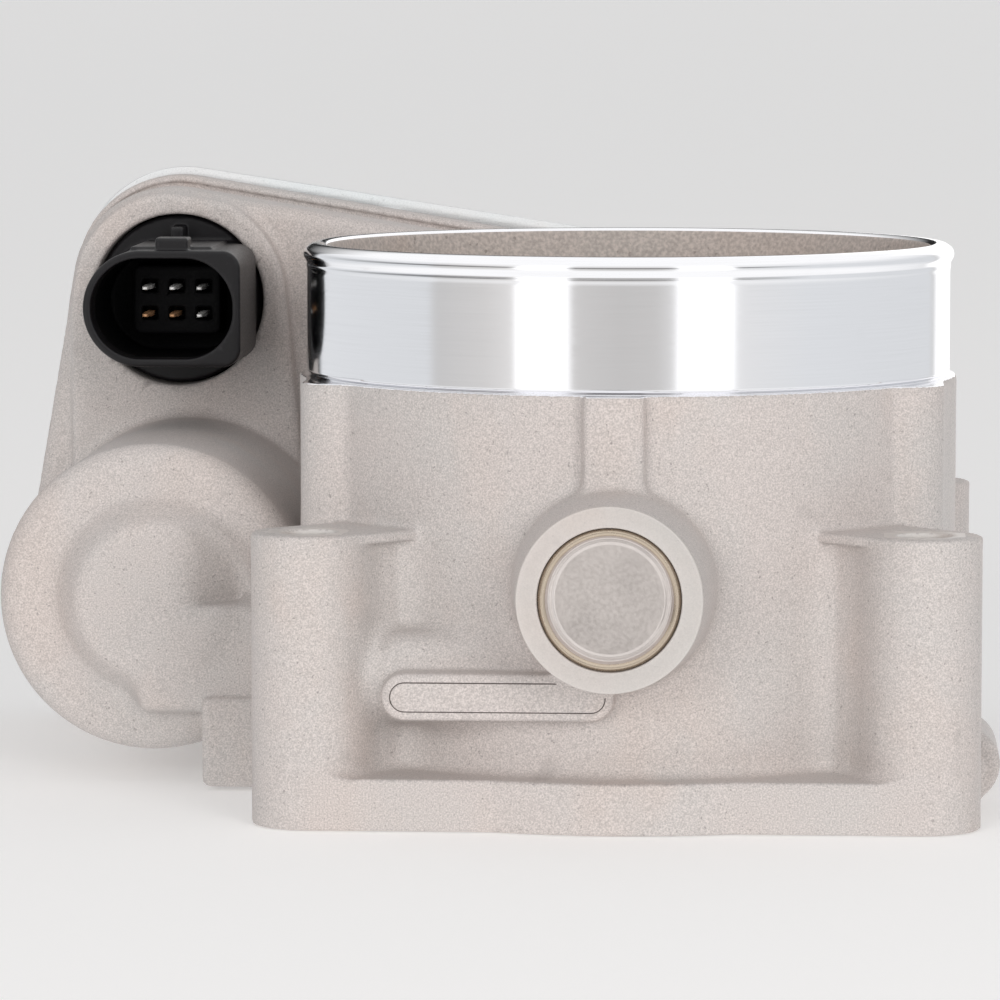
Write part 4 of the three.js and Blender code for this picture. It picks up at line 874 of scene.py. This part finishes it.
def cover_casting():
    low, high = box("gear_cover")
    solid = Solid(low, high, 0.65)
    _, x, y, z = solid.window()
    front, back = low[1], high[1]
    face = back - 4
    rim = flat_polygon(x, z, hull_of(COVER_CIRCLES, LIP_WIDTH))
    posts = flat_rounds(x, z, COVER_SCREWS, COVER_BOSS_R)
    body = join(slab(rim, y, front, front + 4.2, 0.9),
                slab(rim + COVER_STEP, y, front, back - 0.8, 2.2), 1.4)
    body = join(body, slab(posts + 0.2, y, front, back, 0.5), 1.0)
    for centre, r in COVER_RINGS:
        ring = np.abs(flat_round(x, z, centre, r)) - 1.0
        body = join(body, slab(ring, y, face, back, 0.4), 0.8)
    body = join(body, slab(flat_round(x, z, SHAFT, COVER_CAP_R), y, face, back + 1.2, 0.9), 1.0)
    for (ax, az), (bx, bz) in COVER_RIBS:
        length = math.hypot(bx - ax, bz - az)
        out, across = turned_axes(x - ax, z - az, math.atan2(bz - az, bx - ax))
        rib = flat_box(out, across, (0, -COVER_RIB_HALF), (length, COVER_RIB_HALF), COVER_RIB_HALF)
        body = join(body, slab(rib, y, face, back - 0.2, 0.4), 0.8)
    hollow = np.minimum(slab(rim + 4.5, y, front - 5, front + 3.6),
                        slab(rim + 6.5, y, front - 5, back - 3.4))
    body = meet(body, -np.maximum(hollow, -posts), 0.3)
    holes = flat_rounds(x, z, COVER_SCREWS, COVER_HOLE_R)
    body = meet(body, -np.maximum(holes, y - back - 3), 0.3)
    solid.field = meet(body, UNDERSIDE_Z - z).astype(np.float32)
    return solid.mesh("cover_casting")


place(cover_casting(), "housing", [COVER_METAL], ["gear_cover"])


def gasket_ring():
    low, high = box("cover_gasket")
    solid = Solid(low, high, 0.35)
    _, x, y, z = solid.window()
    outer = flat_polygon(x, z, hull_of(HOUSING_CIRCLES, LIP_WIDTH - 0.5))
    inner = flat_polygon(x, z, hull_of(HOUSING_CIRCLES, 0.3 - SIDE_WALL))
    inner = np.maximum(inner, -flat_rounds(x, z, COVER_SCREWS, COVER_BOSS_R - 0.3))
    ring = np.maximum(outer, -inner)
    ring = np.maximum(ring, -flat_rounds(x, z, COVER_SCREWS, COVER_HOLE_R + 0.1))
    solid.field = meet(slab(ring, y, low[1], high[1], 0.2), UNDERSIDE_Z + 0.1 - z).astype(np.float32)
    return solid.mesh("gasket_ring")


place(gasket_ring(), "housing", [RUBBER], ["cover_gasket"])


SCREW_HEAD_R = 3.5
SCREW_HEAD_HEIGHT = 2.6
SCREW_R = 2.0
THREAD_PITCH = 0.8
THREAD_DEPTH = 0.12


def cover_screw(name, node):
    """A button-head screw along Y, with a six-lobed recess."""
    low, high = box(node)
    centre = axis_of(node)
    solid = Solid(low, high, 0.2)
    _, x, y, z = solid.window()
    underside = high[1] - SCREW_HEAD_HEIGHT
    head = slab(flat_round(x, z, centre, SCREW_HEAD_R), y, underside, high[1], 0.85)
    thread = (flat_round(x, z, centre, SCREW_R - THREAD_DEPTH)
              + THREAD_DEPTH * np.cos(y * 2 * math.pi / THREAD_PITCH))
    body = join(head, slab(thread, y, low[1], underside + 1, 0.3), 0.2)
    turn = np.arctan2(z - centre[1], x - centre[0])
    star = flat_round(x, z, centre, SCREW_HEAD_R * 0.46) - 0.26 * np.cos(6 * turn)
    body = meet(body, -slab(star, y, high[1] - SCREW_HEAD_HEIGHT * 0.6, high[1] + 2), 0.12)
    solid.field = body.astype(np.float32)
    return solid.mesh(name, 0.01)


for number, node in enumerate(COVER_SCREWS, 1):
    place(cover_screw(f"cover_bolt_{number}", node), "housing", [STEEL], [node])

# ---- Shaft and plate ----

REST_OPENING = math.radians(7)
PIVOT = Matrix.Translation(Vector((SHAFT[0], 0, SHAFT[1])) * MM)
TILT = PIVOT @ Matrix.Rotation(-REST_OPENING, 4, "Y") @ PIVOT.inverted()
SHAFT_NECK_R = 4
SHAFT_NECK_Y = 60.5
PLATE_R = 40.65
PLATE_HALF = 1.1
PLATE_SCREW_Y = 20

shaft_low, shaft_high = box("throttle_shaft")
shaft_bar = turned("shaft_bar", softened([
    (0, shaft_low[1], 0), (SHAFT_R, shaft_low[1], 0.6), (SHAFT_R, SHAFT_NECK_Y, 0.3),
    (SHAFT_NECK_R, SHAFT_NECK_Y + 0.1, 0), (SHAFT_NECK_R, shaft_high[1], 0.5),
    (0, shaft_high[1], 0)], 0.3, 3), SHAFT, segments=64)
place(shaft_bar, "throttle", [STEEL], ["throttle_shaft"])
disc = turned("plate_disc", softened([
    (0, SHAFT[1] - PLATE_HALF, 0), (PLATE_R, SHAFT[1] - PLATE_HALF, 0.5),
    (PLATE_R, SHAFT[1] + PLATE_HALF, 0.5), (0, SHAFT[1] + PLATE_HALF, 0)], 0.3, 3), (0, 0), "z", 192)
disc.data.transform(TILT)
place(disc, "throttle", [PLATE_METAL], ["throttle_plate"])
for number, y in enumerate((-PLATE_SCREW_Y, PLATE_SCREW_Y), 1):
    head_z = SHAFT[1] + SHAFT_R
    tip_z = SHAFT[1] - SHAFT_R
    screw = turned(f"plate_bolt_{number}", softened([
        (0, head_z + 1.0, 0), (1.3, head_z + 1.0, 0.2), (1.5, head_z + 1.9, 0.2),
        (2.6, head_z + 1.8, 0.6), (3.6, head_z + 0.2, 0.2), (3.6, head_z - 0.3, 0.1),
        (2, head_z - 0.3, 0), (2, tip_z, 0), (0, tip_z, 0)], 0.2, 3), (0, y), "z", 48)
    screw.data.transform(TILT)
    place(screw, "throttle", [DARK_STEEL], [f"plate_screw_{number}"])

# ---- Stage, light and camera ----

VIEW_CENTRE = Vector((-17.99, 0, 39.81))
CAMERA_TURN = 3.546
CAMERA_RISE = 5.376
CAMERA_DISTANCE = 783.86
SENSOR_WIDTH = 36
LENS_PER_SENSOR = 5.5633
LIGHT_DISTANCE = 1.4
FLOOR_GLOW = 0.22
FLOOR_HALF = 60
FLOOR_DROP = 0.0001


def direction(turn, rise):
    """The way from the object to something turned round it from its front and raised, in degrees."""
    turn, rise = math.radians(turn), math.radians(rise)
    return Vector((math.sin(turn) * math.cos(rise), -math.cos(turn) * math.cos(rise), math.sin(rise)))


def camera():
    back = direction(CAMERA_TURN, CAMERA_RISE)
    right = Vector((math.cos(math.radians(CAMERA_TURN)), math.sin(math.radians(CAMERA_TURN)), 0))
    up = back.cross(right)
    data = bpy.data.cameras.new("camera")
    data.sensor_width = SENSOR_WIDTH
    data.lens = LENS_PER_SENSOR * SENSOR_WIDTH
    seen_from = bpy.data.objects.new("camera", data)
    bpy.context.scene.collection.objects.link(seen_from)
    turn = Matrix((right, up, back)).transposed().to_4x4()
    seen_from.matrix_world = Matrix.Translation((VIEW_CENTRE + back * CAMERA_DISTANCE) * MM) @ turn
    bpy.context.scene.camera = seen_from


def floor():
    data = bpy.data.meshes.new("floor")
    half = FLOOR_HALF
    data.from_pydata([(-half, -half, 0), (half, -half, 0), (half, half, 0), (-half, half, 0)], [],
                     [(0, 1, 2, 3)])
    ground = bpy.data.objects.new("floor", data)
    bpy.context.scene.collection.objects.link(ground)
    look = Look("floor", (0.86, 0.855, 0.85), 0.9)
    look.shader.inputs["Emission Color"].default_value = (1, 0.995, 0.99, 1)
    look.shader.inputs["Emission Strength"].default_value = FLOOR_GLOW
    data.materials.append(look.done())
    ground.location.z = -FLOOR_DROP
    ground.visible_glossy = False


# What stands round the object: brightness and warmth by direction, from behind it on the left, past
# its front at zero, to behind it on the right. Only shiny surfaces see it.
STUDIO = [
    (-180, 0.02, 0), (-144, 0.02, 0), (-140, 0.82, -0.02), (-73, 0.79, -0.02), (-69.5, 0.63, 0.01),
    (-50, 0.70, 0.02), (-39, 0.80, 0.02), (-36.5, 1.5, 0), (-20, 1.5, 0), (-17, 0.66, 0.02),
    (0, 0.61, 0.02), (12, 0.63, 0.02), (18, 0.75, 0.01), (21, 1.5, 0), (38.5, 1.5, 0), (41, 0.86, 0),
    (70, 0.82, -0.02), (138, 0.78, -0.02), (142, 0.70, 0), (147, 1.3, 0),
]
# The unlit room that shows between the lit walls, a little above the level of the object.
ROOM_FROM, ROOM_TO, ROOM_LEVEL = -76, 60, 0.22
ROOM_STRIP = [(0.0, 0), (0.03, 1), (0.16, 1), (0.26, 0)]
# How steep a direction is where the walls start to fade into the bright ceiling, and where they end.
CEILING_FROM, CEILING_TO = 0.16, 0.6
CEILING = (1.1, 1.1, 1.1)
# What the camera sees behind the floor, and what lights everything evenly.
BACKDROP = (0.72, 0.715, 0.71)
FILL = (0.45, 0.45, 0.455)


def wall_stops(with_room):
    """The studio's walls as stops of a ramp, with or without the unlit room."""
    for degrees, level, warmth in STUDIO:
        if with_room and ROOM_FROM < degrees < ROOM_TO and level < 1:
            level = ROOM_LEVEL
        yield (degrees + 180) / 360, (level * (1 + warmth), level, level * (1 - warmth))


def studio_world():
    world = bpy.data.worlds.new("studio")
    bpy.context.scene.world = world
    world.use_nodes = True
    nodes, links = world.node_tree.nodes, world.node_tree.links
    nodes.clear()

    def calc(operation, *values):
        made = nodes.new("ShaderNodeMath")
        made.operation = operation
        for target, value in zip(made.inputs, values):
            if isinstance(value, (int, float)):
                target.default_value = value
            else:
                links.new(value, target)
        return made.outputs[0]

    def share_of(value, low, high):
        made = nodes.new("ShaderNodeMapRange")
        made.inputs["From Min"].default_value = low
        made.inputs["From Max"].default_value = high
        links.new(value, made.inputs["Value"])
        return made.outputs["Result"]

    def ramp(value, stops):
        made = nodes.new("ShaderNodeValToRGB")
        elements = made.color_ramp.elements
        for i, (at, colour) in enumerate(stops):
            stop = elements[0] if i == 0 else elements.new(at)
            stop.position = at
            stop.color = (*colour, 1)
        elements.remove(elements[-1])
        links.new(value, made.inputs["Fac"])
        return made.outputs["Color"]

    def mixed(factor, first):
        made = nodes.new("ShaderNodeMix")
        made.data_type = "RGBA"
        links.new(factor, made.inputs["Factor"])
        links.new(first, made.inputs["A"])
        return made.inputs["B"], made.outputs["Result"]

    def background():
        made = nodes.new("ShaderNodeBackground")
        return made.inputs["Color"], made.outputs[0]

    def choose(chance, otherwise, when):
        made = nodes.new("ShaderNodeMixShader")
        links.new(chance, made.inputs["Fac"])
        links.new(otherwise, made.inputs[1])
        links.new(when, made.inputs[2])
        return made.outputs[0]

    way = nodes.new("ShaderNodeTexCoord").outputs["Generated"]
    split = nodes.new("ShaderNodeSeparateXYZ")
    links.new(way, split.inputs[0])
    east, north, height = split.outputs
    turn = calc("ARCTAN2", east, calc("MULTIPLY", north, -1))
    share = share_of(turn, -math.pi, math.pi)
    walls = ramp(share, wall_stops(False))
    room = ramp(share, wall_stops(True))
    strip = ramp(height, [(at, (level,) * 3) for at, level in ROOM_STRIP])
    second, around = mixed(strip, walls)
    links.new(room, second)
    second, everything = mixed(share_of(calc("ABSOLUTE", height), CEILING_FROM, CEILING_TO), around)
    second.default_value = (*CEILING, 1)

    colour, lit = background()
    links.new(everything, colour)
    colour, fill = background()
    colour.default_value = (*FILL, 1)
    colour, plain = background()
    colour.default_value = (*BACKDROP, 1)
    ray = nodes.new("ShaderNodeLightPath").outputs
    soft = choose(ray["Is Diffuse Ray"], lit, fill)
    seen = choose(ray["Is Camera Ray"], soft, plain)
    links.new(seen, nodes.new("ShaderNodeOutputWorld").inputs["Surface"])


def soft_light(name, turn, rise, size, power, colour):
    """A square area light, turned round the object from its front and raised, in degrees."""
    data = bpy.data.lights.new(name, "AREA")
    data.size = size
    data.energy = power
    data.color = colour
    away = direction(turn, rise)
    lamp = bpy.data.objects.new(name, data)
    bpy.context.scene.collection.objects.link(lamp)
    lamp.location = VIEW_CENTRE * MM + away * LIGHT_DISTANCE
    lamp.rotation_euler = away.to_track_quat("Z", "Y").to_euler()
    lamp.visible_glossy = False


WARM_WHITE = (1.0, 0.975, 0.96)
bpy.context.scene.view_settings.view_transform = "Standard"
camera()
floor()
studio_world()
soft_light("key_right", 27, 14, 0.6, 7.0, WARM_WHITE)
soft_light("key_left", -17, 12, 0.5, 6.4, WARM_WHITE)
